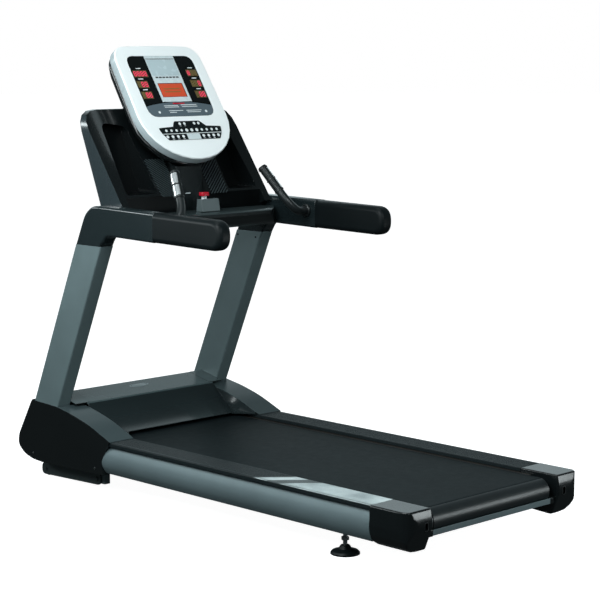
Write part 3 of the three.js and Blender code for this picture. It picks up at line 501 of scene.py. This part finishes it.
def disc(x, y, radius, steps=20, squeeze=1.0):
    turn = 2 * math.pi / steps
    return [(x + radius * math.cos(i * turn), y + squeeze * radius * math.sin(i * turn))
            for i in range(steps)]


def shrunk(outline, share):
    """An outline drawn in towards its middle."""
    middle = sum((Vector(p) for p in outline), Vector((0, 0))) / len(outline)
    return [middle + share * (Vector(p) - middle) for p in outline]


def axes(origin, x_axis, z_axis):
    """A placing matrix: Z along z_axis, X as near x_axis as it can be, and its origin in millimetres."""
    z = Vector(z_axis).normalized()
    y = z.cross(Vector(x_axis)).normalized()
    x = y.cross(z)
    turn = Matrix((x, y, z)).transposed().to_4x4()
    return Matrix.Translation(MM * Vector(origin)) @ turn


def curve(start, corner, end, t):
    """A point on the curve from start to end that bends towards the corner."""
    return start * (1 - t) ** 2 + corner * (2 * t * (1 - t)) + end * t ** 2


def smooth_path(corners, steps=8):
    """A line through corners (a, b, reach): each corner with a reach turns in a curve of that reach."""
    points = []
    for i, (a, b, *reach) in enumerate(corners):
        here = Vector((a, b))
        if not reach:
            points.append(here)
            continue
        before = Vector(corners[i - 1][:2]) - here
        after = Vector(corners[(i + 1) % len(corners)][:2]) - here
        start, end = here + before.normalized() * reach[0], here + after.normalized() * reach[0]
        for k in range(steps + 1):
            points.append(curve(start, here, end, k / steps))
    return points


def pillow(bm, outline, locked, x0, x1, radius, steps=7):
    """A solid over an outline in (y, z), from x0 to x1, with a full round of that radius along its edges.
    locked holds, for corners of the outline that meet a neighbour, the direction they draw in along."""
    count = len(outline)
    area = sum(outline[i - 1].x * outline[i].y - outline[i].x * outline[i - 1].y for i in range(count))
    hand = 1 if area > 0 else -1
    draw = []
    for i, point in enumerate(outline):
        one = (point - outline[i - 1]).normalized()
        two = (outline[(i + 1) % count] - point).normalized()
        normal = Vector((-one.y - two.y, one.x + two.x)) * hand
        draw.append(locked.get(i) or normal / max(0.3, normal.length_squared / 2))
    rings = []
    for side, edge in ((-1, x0), (1, x1)):
        turns = range(steps, -1, -1) if side < 0 else range(steps + 1)
        for k in turns:
            angle = math.pi / 2 * k / steps
            x = edge - side * radius * (1 - math.sin(angle))
            inset = radius * (1 - math.cos(angle))
            rings.append([bm.verts.new(MM * Vector((x, *(p + inset * d)))) for p, d in zip(outline, draw)])
    skin(bm, rings)


def sweep(bm, path, radius, sides=20):
    """A round bar along a line of points in millimetres, closed at both ends."""
    rings = []
    across = Vector((1, 0, 0))
    for i, point in enumerate(path):
        along = (path[min(i + 1, len(path) - 1)] - path[max(i - 1, 0)]).normalized()
        across = (across - along * across.dot(along)).normalized()
        up = along.cross(across)
        rings.append([bm.verts.new(MM * (point + radius * (math.cos(a) * across + math.sin(a) * up)))
                      for a in (2 * math.pi * k / sides for k in range(sides))])
    skin(bm, rings)


def screws(name, spots, body, radius=4.0, finish="machined_steel"):
    """Domed socket heads. Each spot is (x, y, z) in millimetres and the direction the head faces."""
    bm = bmesh.new()
    dome = [(radius, -0.6), (radius, 0.9), (radius * 0.86, 1.7), (radius * 0.55, 2.1), (radius * 0.5, 0.7),
            (0.01, 0.7), (0.01, -0.6)]
    for point, facing in spots:
        across = (0, 0, 1) if abs(facing[2]) < 0.9 else (1, 0, 0)
        turned(bm, dome, axes(point, across, facing), steps=12)
    bmesh.ops.remove_doubles(bm, verts=bm.verts, dist=0.00003)
    return piece(name, bm, finish, body)


# ---- Deck and base -------------------------------------------------------------------------------
def add_foot_rails():
    """Tread rails: a rounded section with fine ribs, plain and a little lower under the fairing."""
    start, seat, end = -807.7, 437, 551
    inner, outer, top, groove = 306, 410, 199, 197.9
    pitch, crest = 5.2, 2.9
    section = [(inner, 187), (inner, 196.6), (inner + 0.7, 198.3), (inner + 2.4, top)]
    x = inner + 6
    while x + pitch < outer - 6:
        rise = x + pitch - crest
        section += [(x, top), (x + 0.7, groove), (rise, groove), (rise + 0.7, top)]
        x += pitch
    low = [(outer, 195.6), (outer, 184), (401, 184), (401, 180.4), (364, 180.4), (364, 187)]
    section += [(outer - 4, top), (outer - 1.3, 198.1)] + low
    under = [(inner, 187), (inner, 196.6), (inner + 0.8, 197.8), (outer - 1.2, 197.8)] + low
    for side, sign in SIDES:
        bm = bmesh.new()
        along_y = Matrix(((sign, 0, 0, 0), (0, 0, 1, 0), (0, 1, 0, 0), (0, 0, 0, 1)))
        prisms(bm, [section], start, seat, along_y)
        prisms(bm, [under], seat, end, along_y)
        rail = piece(f"tread_rail_{side}", bm, f"foot_rail_{side}", "chassis",
                     smooth=False)
        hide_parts(f"foot_rail_{side}")
        dressed.add(f"foot_rail_{side}")


def add_badge():
    """A blank oval badge on the hood's top."""
    slope = Vector((0, 117, 27)).normalized()
    place = axes((0, 774, 307.1), (1, 0, 0), Vector((1, 0, 0)).cross(slope))
    bm = bmesh.new()
    oval = disc(0, 0, 46, 40, squeeze=0.32)
    levels = ((1.0, 0), (1.0, 1.2), (0.94, 2.0), (0.86, 2.0), (0.82, 1.3), (0.6, 1.8), (0.3, 2.1))
    skin(bm, [ring(bm, place, shrunk(oval, share), height) for share, height in levels])
    piece("hood_badge", bm, "badge_grey", "chassis")


def add_base_details():
    screws("hood_screws", [((x, 800, 312.8), (0, -27, 117)) for x in (-262, 262)], "chassis")
    spots = [((sign * 415, y, 96), (sign, 0, 0)) for _, sign in SIDES for y in (880, 520)]
    screws("side_cover_screws", spots, "chassis", radius=4.5, finish="black_plastic")
    screws("front_cover_screws", [((x, 967.5, 132), (0, 1, 0)) for x in (-320, -110, 110, 320)], "chassis",
           radius=4.5, finish="black_plastic")
    front = axes((0, 969.2, 0), (-1, 0, 0), (0, 1, 0))
    slots = [rounded(x - 2.2, x + 2.2, 119, 145, 2.1) for x in range(-60, 61, 12)]
    # The vent slots are near-black plates: painted shade in place of open slots
    plates("front_vents", slots, -1.2, -0.1, front, "hollow_painted_shade", "chassis")
    pins = [rounded(200 + x - 1, 200 + x + 1, 131, 137, 0.8) for x in (-7, 0, 7)]
    plates("inlet_pins", pins, -22, -6, front, "machined_steel", "chassis")
    for side, sign in SIDES:
        facing = axes((sign * 334, -969, 146), (1, 0, 0), (0, -1, 0))
        rim = bmesh.new()
        outer = rounded(-8.6, 8.6, -13.6, 14.6, 4.5)
        inner = rounded(-6.5, 6.5, -12.2, 11.5, 3.6)
        levels = ((outer, -0.7), (outer, -0.1), (inner, -0.1), (inner, -0.7))
        rings = [ring(rim, facing, outline, level) for outline, level in levels]
        count = len(outer)
        for k in range(4):
            a, b = rings[k], rings[(k + 1) % 4]
            for i in range(count):
                j = (i + 1) % count
                rim.faces.new((a[i], a[j], b[j], b[i]))
        piece(f"adjuster_rim_{side}", rim, "black_plastic", "chassis", smooth=False)
    for side, sign in SIDES:
        along_x = Matrix(((0, 0, sign, 0), (1, 0, 0, 0), (0, 1, 0, 0), (0, 0, 0, 1)))
        sleeve = rounded(-952.5, -931.5, 105, 126.5, 3)
        plates(f"beam_sleeve_{side}", [sleeve], 285.5, 305.9, along_x, "cap_black", "chassis",
               width=0.0006)


# ---- Console -------------------------------------------------------------------------------------
HEAD = Matrix.Translation((0, 0.539, 1.376)) @ Matrix.Rotation(math.atan2(0.836, 0.549), 4, "X")
GLASS = -0.6                            # front of the display overlay, in millimetres out of the head
KEYS = 1.8                              # front of the keypad


def head_plates(name, outlines, low, high, finish, width=0.0):
    return plates(name, outlines, low, high, HEAD, finish, "chassis", width)


def strokes(x, y, wide, tall, stroke):
    """The seven bars of one digit, as outlines."""
    half = stroke / 2
    middle = y + tall / 2
    left, right, bottom, top = x + half, x + wide - half, y + half, y + tall - half
    flat = [(left, right, level - half, level + half) for level in (bottom, middle, top)]
    upright = [(edge - half, edge + half, low + half, high - half)
               for edge in (left, right) for low, high in ((bottom, middle), (middle, top))]
    return [[(a, c), (b, c), (b, d), (a, d)] for a, b, c, d in flat + upright]


def add_display():
    arch = [(155 - 10 * i, -22 + 17 * (1 - ((155 - 10 * i) / 155) ** 2)) for i in range(32)]
    low_edge = [p for p in rounded(-154.6, 154.6, -64.6, 60, 37, 6) if p[1] < -20]
    left = [p for p in low_edge if p[0] < 0]
    right = [p for p in low_edge if p[0] > 0]
    head_plates("slate_band", [left + right + arch], GLASS, GLASS + 0.15, "slate")

    around = [(-69, -4), (-69, 190), (69, 190), (69, -4), (58, -2.5), (58, 75), (-58, 75), (-58, -2.5)]
    below = [(-57.8, -3.6), (57.8, -3.6), (57.8, 16), (-57.8, 16)]
    panel = GLASS + 0.2
    head_plates("centre_panel", [around, below], GLASS, panel, "silver_panel")
    upper = rounded(-66, 66, 106, 174, 2)
    head_plates("upper_panel", [upper], panel, panel + 0.15, "ice_panel")
    dashes = [rounded(x - 6.4, x + 6.4, 96.5, 102.5, 1.2) for x in range(-48, 49, 16)]
    rules = [rounded(-67, 67, 176, 179, 1)]
    head_plates("dash_row", dashes + rules, panel, panel + 0.15, "print_black")

    # Each window's outline, and its digits: 1 is lit and 0 is not
    windows = (
        (-151, -85, 101, 130, "1111"), (-151, -100, 56, 86, "011"), (-150, -101, 11, 41, "011"),
        (101, 151, 103, 131, "100"), (101, 151, 57, 87, "001"), (101, 151, 11, 41, "011"),
    )
    frames, lit, unlit, labels = [], [], [], []
    for x0, x1, y0, y1, digits in windows:
        frames.append(rounded(x0, x1, y0, y1, 2))
        pitch = (x1 - x0 - 4) / len(digits)
        for i, digit in enumerate(digits):
            bars = strokes(x0 + 3 + i * pitch, y0 + 4, pitch - 2.4, y1 - y0 - 8, 3.4)
            (lit if digit == "1" else unlit).extend(bars)
        middle = (x0 + x1) / 2
        labels += [rounded(middle - 11, middle + 11, y1 + 6, y1 + 9.4, 1)]
    head_plates("led_windows", frames, GLASS, GLASS + 0.15, "olive_window")
    head_plates("led_lit", lit, GLASS + 0.15, GLASS + 0.3, "led_red")
    head_plates("led_unlit", unlit, GLASS + 0.15, GLASS + 0.25, "led_unlit")

    for x0, x1, level in ((-72, -6, -21), (8, 82, -19), (-70, -4, -27), (10, 84, -26),
                          (-58, 8, -42), (24, 96, -42), (-56, -24, -49), (26, 90, -49)):
        labels.append(rounded(x0, x1, level, level + 2.4, 0.8))
    for x in (-104, 116):
        labels.append(disc(x, -46, 5.2, 14))
    head_plates("panel_labels", labels, GLASS + 0.15, GLASS + 0.3, "print_white")
    mark = rounded(-27, 29, -13.5, -8.5, 1.5)
    head_plates("panel_mark", [mark], GLASS + 0.15, GLASS + 0.3, "red_plastic")

    screen = -1.2
    text = [rounded(x, x + 3.6, level, level + 6, 0.5) for level in (36, 48.5) for x in range(-38, 37, 5)]
    border = [(-50, 23.5), (50, 23.5), (50, 67.5), (-50, 67.5)]
    head_plates("lcd_field", [border], screen, screen + 0.12, "lcd_orange")
    head_plates("lcd_characters", text, screen + 0.12, screen + 0.25, "lcd_ink")


def add_keypad_print():
    caps = [disc(x, -97, 5.6) for x in (-37, -15, 31, 51)]
    caps += [disc(-112 + 23.8 * i, -124, 6.6 if i in (4, 5, 6) else 5.2) for i in range(11)]
    caps += [disc(x, -149, 6.0) for x in (-117, -93, -68, -44, 52, 76, 100, 123)]
    bm = bmesh.new()
    dome = ((1, 0), (1, 0.5), (0.8, 0.9), (0.35, 1.05))
    for cap in caps:
        skin(bm, [ring(bm, HEAD, shrunk(cap, share), KEYS + height) for share, height in dome])
    piece("keypad_domes", bm, "key_face", "chassis")

    patch = rounded(-25, 36, -162.6, -139, 1.5)
    gap = rounded(-133, 146, -138.4, -136, 1)
    bars = [rounded(x - 5, x + 5, -160, -158.2, 0.6) for x in (-93, -68, -44, 52, 76, 100)]
    bars += [rounded(x - 4, x + 4, -107, -105.4, 0.5) for x in (-37, -15)]
    head_plates("keypad_patch", [patch], KEYS, KEYS + 0.15, "silver_panel")
    head_plates("keypad_gap", [gap], KEYS, KEYS + 0.15, "print_white")
    head_plates("keypad_labels", bars, KEYS, KEYS + 0.15, "print_white")


def clipped(start, heading, polygon):
    """The stretch of the line from start along heading that lies inside a convex anticlockwise polygon."""
    low, high = -1e9, 1e9
    for (ax, ay), (bx, by) in zip(polygon, polygon[1:] + polygon[:1]):
        inward = Vector((-(by - ay), bx - ax))
        distance = inward.dot(start - Vector((ax, ay)))
        speed = inward.dot(heading)
        if abs(speed) < 1e-9:
            if distance < 0:
                return None
        elif speed > 0:
            low = max(low, -distance / speed)
        else:
            high = min(high, -distance / speed)
    return (start + low * heading, start + high * heading) if high - low > 6 else None


def add_grilles():
    """Slanted louvres on the flat of the shell, between the mast and each tray."""
    face = axes(SHELL_POINT, (1, 0, 0), SHELL_FRONT)
    stretch = 1 / SHELL_RISE.z              # length along the face of one unit of height
    corners = ((76, -10), (157, -10), (160, 15), (166, 118), (76, 118))
    region = [(x, height * stretch) for x, height in corners]
    heading = Vector((1.4, stretch)).normalized()
    across = 1.8 * Vector((-heading.y, heading.x))
    pitch = 14
    for side, sign in SIDES:
        mirror = Matrix.Scale(sign, 4, (1, 0, 0))
        # A near-black sheet under the slats: painted shade in the grille's depth
        bm = bmesh.new()
        prisms(bm, [region], -0.5, 0.35, mirror @ face)
        piece(f"grille_painted_shade_{side}", bm, "hollow_painted_shade", "chassis", smooth=False)
        bm = bmesh.new()
        offset = -420
        while offset < 160:
            ends = clipped(Vector((region[0][0] + offset, region[0][1])), heading, region)
            offset += pitch
            if ends:
                low, high = ends
                slat = [low - across, high - across, high + across, low + across]
                prisms(bm, [slat], -0.4, 2.0, mirror @ face)
        piece(f"grille_{side}", bm, "slat_grey", "chassis", width=0.0005)


def add_console_details():
    front = axes((0, 475.2, 0), (1, 0, 0), (0, -1, 0))
    trim = rounded(-20, 4, 1045.5, 1049, 1.4)
    plates("mast_slot_trim", [trim], -2.5, 0.6, front, "silver_panel", "chassis")
    back = Vector((0, 1, -0.4)).normalized()
    spots = []
    for _, sign in SIDES:
        for x, z in ((90, 1010), (320, 1010), (325, 1160), (270, 1325), (90, 1325)):
            spots.append(((sign * x, 548 + (z - 1019) * 0.4 + 0.2, z), back))
    screws("back_cover_screws", spots, "chassis", finish="black_plastic")
    slots = []
    for sign in (1, -1):
        for i in range(9):
            slots.append([(sign * (130 + 9 * i) + x, y) for x, y in rounded(-2, 2, 40, 150, 1.9)])
    tilt = Vector((0, 0.4, 1)).normalized()
    rear = axes((0, 548.3, 1019), (-1, 0, 0), Vector((-1, 0, 0)).cross(tilt))
    # The back vent slots are near-black plates: painted shade in place of open slots
    plates("back_vents", slots, -0.6, 0.15, rear, "hollow_painted_shade", "chassis")
    for side, sign in SIDES:
        # Near-black heads where the upright shows dark holes: painted shade
        spots = [((sign * 352.9, y, z), (-sign, 0, 0)) for y, z in ((604, 865), (507, 861))]
        screws(f"upright_screws_{side}", spots, "chassis", radius=3.6, finish="hollow_painted_shade")


def add_safety_key():
    """Red cap with finger ridges over two pale prongs."""
    bm = bmesh.new()
    flat = Matrix.Identity(4)
    cap = rounded(-16, 16, 386.2, 409.8, 5)
    prisms(bm, [cap], 1041, 1054.9, flat)
    key = piece("key_cap", bm, "red_plastic", "safety_key", width=0.002)
    bm = bmesh.new()
    for x in (-5, 5):
        prisms(bm, [rounded(x - 2.9, x + 2.9, 392.2, 403.8, 1.2)], 1006.2, 1041.4, flat)
    piece("key_prongs", bm, "print_white", "safety_key", width=0.0006)
    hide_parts("safety_key")
    ridges = [rounded(x - 0.8, x + 0.8, 386.0, 386.9, 0.2) for x in range(-9, 10, 3)]
    plates("key_ridges", ridges, 1043, 1053, flat, "red_plastic", "safety_key")
    dressed.add("safety_key")


def add_pulse_details():
    """Rings at the ends of the contact plates, and ribs on the side of the bar away from them."""
    down = (PULSE_LOW - PULSE_TOP).normalized()
    full, gap = 2 * math.pi, 1.34           # gap is half of the turn that a contact plate covers
    bands = [(distance, 18.0, width, 26, 0.0, full) for distance, width in ((5, 6), (55, 5), (105, 6))]
    for i in range(18):
        distance = 10.5 + 5.2 * i
        if abs(distance - 55) > 4:
            bands.append((distance, 16.6, 2.6, 16, gap, full - 2 * gap))
    for side, sign in SIDES:
        flip = Vector((sign, 1, 1))
        bm = bmesh.new()
        for distance, radius, width, steps, start, turn in bands:
            place = axes((PULSE_TOP + down * distance) * flip, (sign, 0, 0), down * flip)
            half = width / 2
            profile = [(14.6, -half), (radius - 0.6, -half), (radius, 0.6 - half), (radius, half - 0.6),
                       (radius - 0.6, half), (14.6, half)]
            turned(bm, profile, place, steps, start, turn)
        place = axes((PULSE_TOP + down * 0.3) * flip, (sign, 0, 0), -down * flip)
        turned(bm, [(0.01, -0.3), (15.6, -0.3), (15.6, 2.6), (13.0, 4.4), (0.01, 4.8)], place, 26)
        bmesh.ops.remove_doubles(bm, verts=bm.verts, dist=0.00003)
        piece(f"pulse_rings_{side}", bm, "black_plastic", "chassis")


# ---- Handrails -----------------------------------------------------------------------------------
SEAM = 194                              # where the elbow meets the grip, in millimetres


def add_handrails():
    """Elbows with softly rounded edges, and rubber grips with round ends."""
    foot = 883
    bend = smooth_path([(613, foot), (583, 948, 15), (562, 992, 20), (522, 1022, 22), (483, 1023),
                        (SEAM + 0.3, 1017), (SEAM + 0.3, 916), (447, 922, 24), (472, foot)], 10)
    last = len(bend) - 1
    seam = [i for i, p in enumerate(bend) if abs(p.x - SEAM - 0.3) < 0.01]
    held = {0: Vector((-1.05, 0)), last: Vector((1.05, 0)),
            seam[0]: Vector((0, -1)), seam[1]: Vector((0, 1))}
    grip = smooth_path([(SEAM, 1017), (-140, 1011, 50), (-140, 910, 48), (SEAM, 916)], 14)
    ends = {0: Vector((0, -1)), len(grip) - 1: Vector((0, 1))}
    for side, sign in SIDES:
        inner, outer = sorted((sign * 354, sign * 412))
        bm = bmesh.new()
        pillow(bm, bend, held, inner, outer, 9)
        elbow = piece(f"elbow_{side}", bm, "elbow_grey", "chassis")
        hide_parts(f"handrail_elbow_{side}")
        bm = bmesh.new()
        pillow(bm, grip, ends, inner, outer, 19)
        sleeve = piece(f"grip_{side}", bm, "grip_rubber", "chassis")
        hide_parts(f"handrail_grip_{side}")
        dressed.update((f"handrail_elbow_{side}", f"handrail_grip_{side}"))


def add_pulse_bars():
    """Bent bars with a flange on the handrail, and two bright contact plates on each."""
    turn, away = Vector((262, 204.6, 981.8)), Vector((308, 220.8, 980.3))
    path = [PULSE_TOP.lerp(PULSE_LOW, i / 10) for i in range(10)]
    path += [curve(PULSE_LOW, turn, away, i / 24) for i in range(25)]
    path += [Vector((346, 234.4, 979)), Vector((353.5, 237.1, 978.7))]
    along = (PULSE_LOW - PULSE_TOP).normalized()
    out = (Vector((1, 0, 0)) - along * along.x).normalized()
    for side, sign in SIDES:
        flip = Vector((sign, 1, 1))
        bm = bmesh.new()
        sweep(bm, [p * flip for p in path], 15, 28)
        turned(bm, [(15, 0), (23, 0), (23, 6), (20, 9.7), (15, 9.7)],
               axes((sign * 353.6, 237.1, 978.7), (0, 1, 0), (-sign, 0, 0)), 32)
        bar = piece(f"pulse_bar_{side}", bm, "black_plastic", "chassis")
        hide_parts(f"pulse_grip_{side}")
        bm = bmesh.new()
        length = 42
        for start in (9.5, 58.5):
            place = axes((PULSE_TOP + along * start) * flip, out * flip, along * flip)
            arc = [(15.2, 0), (16.9, 0), (17.5, 0.6), (17.5, length - 0.6), (16.9, length), (15.2, length)]
            turned(bm, arc, place, 22, -1.3, 2.6)
        plate = piece(f"pulse_plates_{side}", bm, "chrome_plate", "chassis")
        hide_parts(f"pulse_sensor_{side}")
        dressed.update((f"pulse_grip_{side}", f"pulse_sensor_{side}"))


# ---- Hood and fairings ---------------------------------------------------------------------------
# The scoop's section, and the line of the fairing's roof, as (y, z) in millimetres
RIDGE, TURN, FOOT = Vector((698, 291)), Vector((627, 214)), Vector((530, 203))
ROOF = [(732, 285.2), (651, 270.9, 40), (550, 244.4, 40), (438, 200.4)]


def scoop_at(t):
    """A point on the scoop's section, from the ridge down to the belt."""
    return curve(RIDGE, TURN, FOOT, t)


def scoop_half(y):
    """Half the scoop's width: full at the ridge and at the fairing's end, narrowest at the foot."""
    if y > FOOT.x:
        return 304 - 54 * ((RIDGE.x - y) / (RIDGE.x - FOOT.x)) ** 2.4
    return 304 - 54 * ((y - 438) / (FOOT.x - 438)) ** 1.5


def height_on(line, y):
    """The height at y of a line that runs towards -y."""
    for one, two in zip(line, line[1:]):
        if two.x <= y <= one.x:
            return one.y + (two.y - one.y) * (one.x - y) / (one.x - two.x)
    return line[-1].y


def add_hood():
    """The hood's skin, 3 mm thick: a flat top, a soft ridge, and the scoop that dips to the belt."""
    ridge = smooth_path([(815, 318), (RIDGE.x, RIDGE.y, 7), tuple(scoop_at(0.12))], 8)
    line = [p for p in ridge if p.x > scoop_at(0.12).x + 0.01]
    line += [scoop_at(0.12 + 0.88 * i / 40) for i in range(41)]
    bm = bmesh.new()
    grid = []
    for i, point in enumerate(line):
        half = 289.5 if point.x > 703 else min(303.7, scoop_half(min(point.x, RIDGE.x)) - 0.3)
        along = (line[min(i + 1, len(line) - 1)] - line[max(i - 1, 0)]).normalized()
        normal = Vector((-along.y, along.x))
        under = point - 3 * normal if normal.y > 0 else point + 3 * normal
        spread = [half * (2 * k / 24 - 1) for k in range(25)]
        grid.append([[bm.verts.new(MM * Vector((x, *level))) for x in spread] for level in (point, under)])
    for (top0, low0), (top1, low1) in zip(grid, grid[1:]):
        for k in range(24):
            bm.faces.new((top0[k], top0[k + 1], top1[k + 1], top1[k]))
            bm.faces.new((low0[k + 1], low0[k], low1[k], low1[k + 1]))
        for k in (0, 24):
            bm.faces.new((top0[k], top1[k], low1[k], low0[k]))
    for top, low in (grid[0], grid[-1]):
        for k in range(24):
            bm.faces.new((top[k], top[k + 1], low[k + 1], low[k]))
    hood = piece("hood_skin", bm, "grey_plastic", "chassis", width=0.0009)
    # The scoop below the ridge gets the darker copy: painted shade on the slope down to the belt
    paint_faces(hood, "scoop_painted_shade", lambda _, middle: middle.y < MM * (RIDGE.x - 2))
    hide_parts("motor_hood")
    dressed.add("motor_hood")


def add_fairings():
    """Roofs beside the hood, and the cheeks that close the scoop's sides."""
    roof = smooth_path(ROOF, 12)
    inside = [Vector((p.x, max(199.5, p.y - 3.4))) for p in reversed(roof)]
    stations = [scoop_at(0.14 + 0.86 * i / 36) for i in range(37)]
    stations += [Vector((FOOT.x - 9 * i, 203 - 0.25 * i)) for i in range(1, 9)]
    for side, sign in SIDES:
        bm = bmesh.new()
        outline = roof + inside
        skin(bm, [[bm.verts.new(MM * Vector((sign * x, *p))) for p in outline] for x in (304, 411.7)])
        cover = piece(f"fairing_roof_{side}", bm, "roof_grey", "chassis", width=0.0028)
        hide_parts(f"fairing_{side}")
        bm = bmesh.new()
        rows = []
        for point in stations:
            edge, crown = scoop_half(point.x), height_on(roof, point.x) - 1.2
            rise = max(0.5, crown - point.y)
            row = []
            for k in range(13):
                t = k / 12
                x = edge + (304.6 - edge) * (t ** 0.8)
                z = point.y + 0.3 + (rise - 0.3) * (t ** 1.5)
                row.append(bm.verts.new(MM * Vector((sign * x, point.x, z))))
            for x, z in ((305.4, crown - 0.4), (305.4, point.y - 5), (edge, point.y - 5)):
                row.append(bm.verts.new(MM * Vector((sign * x, point.x, max(z, 198.2)))))
            rows.append(row)
        skin(bm, rows)
        # The cheeks get the same darker copy: painted shade
        piece(f"fairing_cheek_{side}", bm, "scoop_painted_shade", "chassis", width=0.0006)
        dressed.add(f"fairing_{side}")


# ---- Everything together -------------------------------------------------------------------------
FINISH_OF = {"console_shell": "upper_black", "head_housing": "upper_black",
             "console_mast": "mast_black", "lift_frame": "lift_paint", "key_holder": "holder_grey"}
EDGE_OF = {"upright": 0.0022, "running_belt": 0.0006, "console_bezel": 0.002, "console_shell": 0.0032,
           "side_profile": 0.0008, "head_housing": 0.0, "keypad": 0.0005, "display_overlay": 0.0001,
           "lcd_screen": 0.0001, "console_board": 0.0002, "side_cover": 0.001, "front_cover": 0.001,
           "console_crossbar": 0.002}
USUAL_EDGE = 0.0012


def family(node):
    return node.rsplit("_", 1)[0] if node.endswith(("_right", "_left")) else node


add_camera()
looks = make_looks()
add_studio()
add_foot_rails()
add_badge()
add_base_details()
add_display()
add_keypad_print()
add_grilles()
add_console_details()
add_safety_key()
add_pulse_details()
add_handrails()
add_pulse_bars()
add_hood()
add_fairings()
for side, _ in SIDES:
    mould(f"rear_cap_{side}", "cap_black", 0.0019, 8)
for part in frame["record"]["subparts"]:
    node = part["node"]
    if node not in dressed:
        finish = FINISH_OF.get(family(node), part["material_slot"])
        dress(node, finish, EDGE_OF.get(family(node), USUAL_EDGE))

nodes = frame["nodes"]
shell_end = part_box("console_shell")[1][0] - 0.02
# The shell's end faces get the lighter black: painted sheen for the light they catch
paint_faces(nodes["console_shell"], "shell_cheek_painted_sheen",
            lambda normal, middle: abs(normal.x) > 0.8 and abs(middle.x) > shell_end)
# Faces sunk deeper than tray_depth behind the shell's front get the deeper black: painted shade in the
# trays
tray_depth = 0.006
paint_faces(nodes["console_shell"], "tray_painted_shade",
            lambda normal, middle: (normal.dot(SHELL_FRONT) > 0.5
                                    and (middle - MM * SHELL_POINT).dot(SHELL_FRONT) < -tray_depth))
# The crossbar's upward faces get the lighter grey: a grey top, made lighter as painted sheen
paint_faces(nodes["console_crossbar"], "crossbar_top_painted_sheen", lambda normal, _: normal.z > 0.6)
# The bezel's side faces get the grey: painted shade on the white plastic
facing = HEAD.to_3x3() @ Vector((0, 0, 1))
paint_faces(nodes["console_bezel"], "bezel_side_painted_shade", lambda normal, _: normal.dot(facing) < 0.35)
bend_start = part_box("rear_roller")[0].y + 0.03
paint_faces(nodes["running_belt"], "belt_bend", lambda _, middle: middle.y < bend_start)
for side, _ in SIDES:
    paint_faces(nodes[f"side_cover_{side}"], "grey_plastic",
                lambda normal, middle: normal.z > 0.8 and middle.z > 0.27 and abs(middle.x) < 0.36)
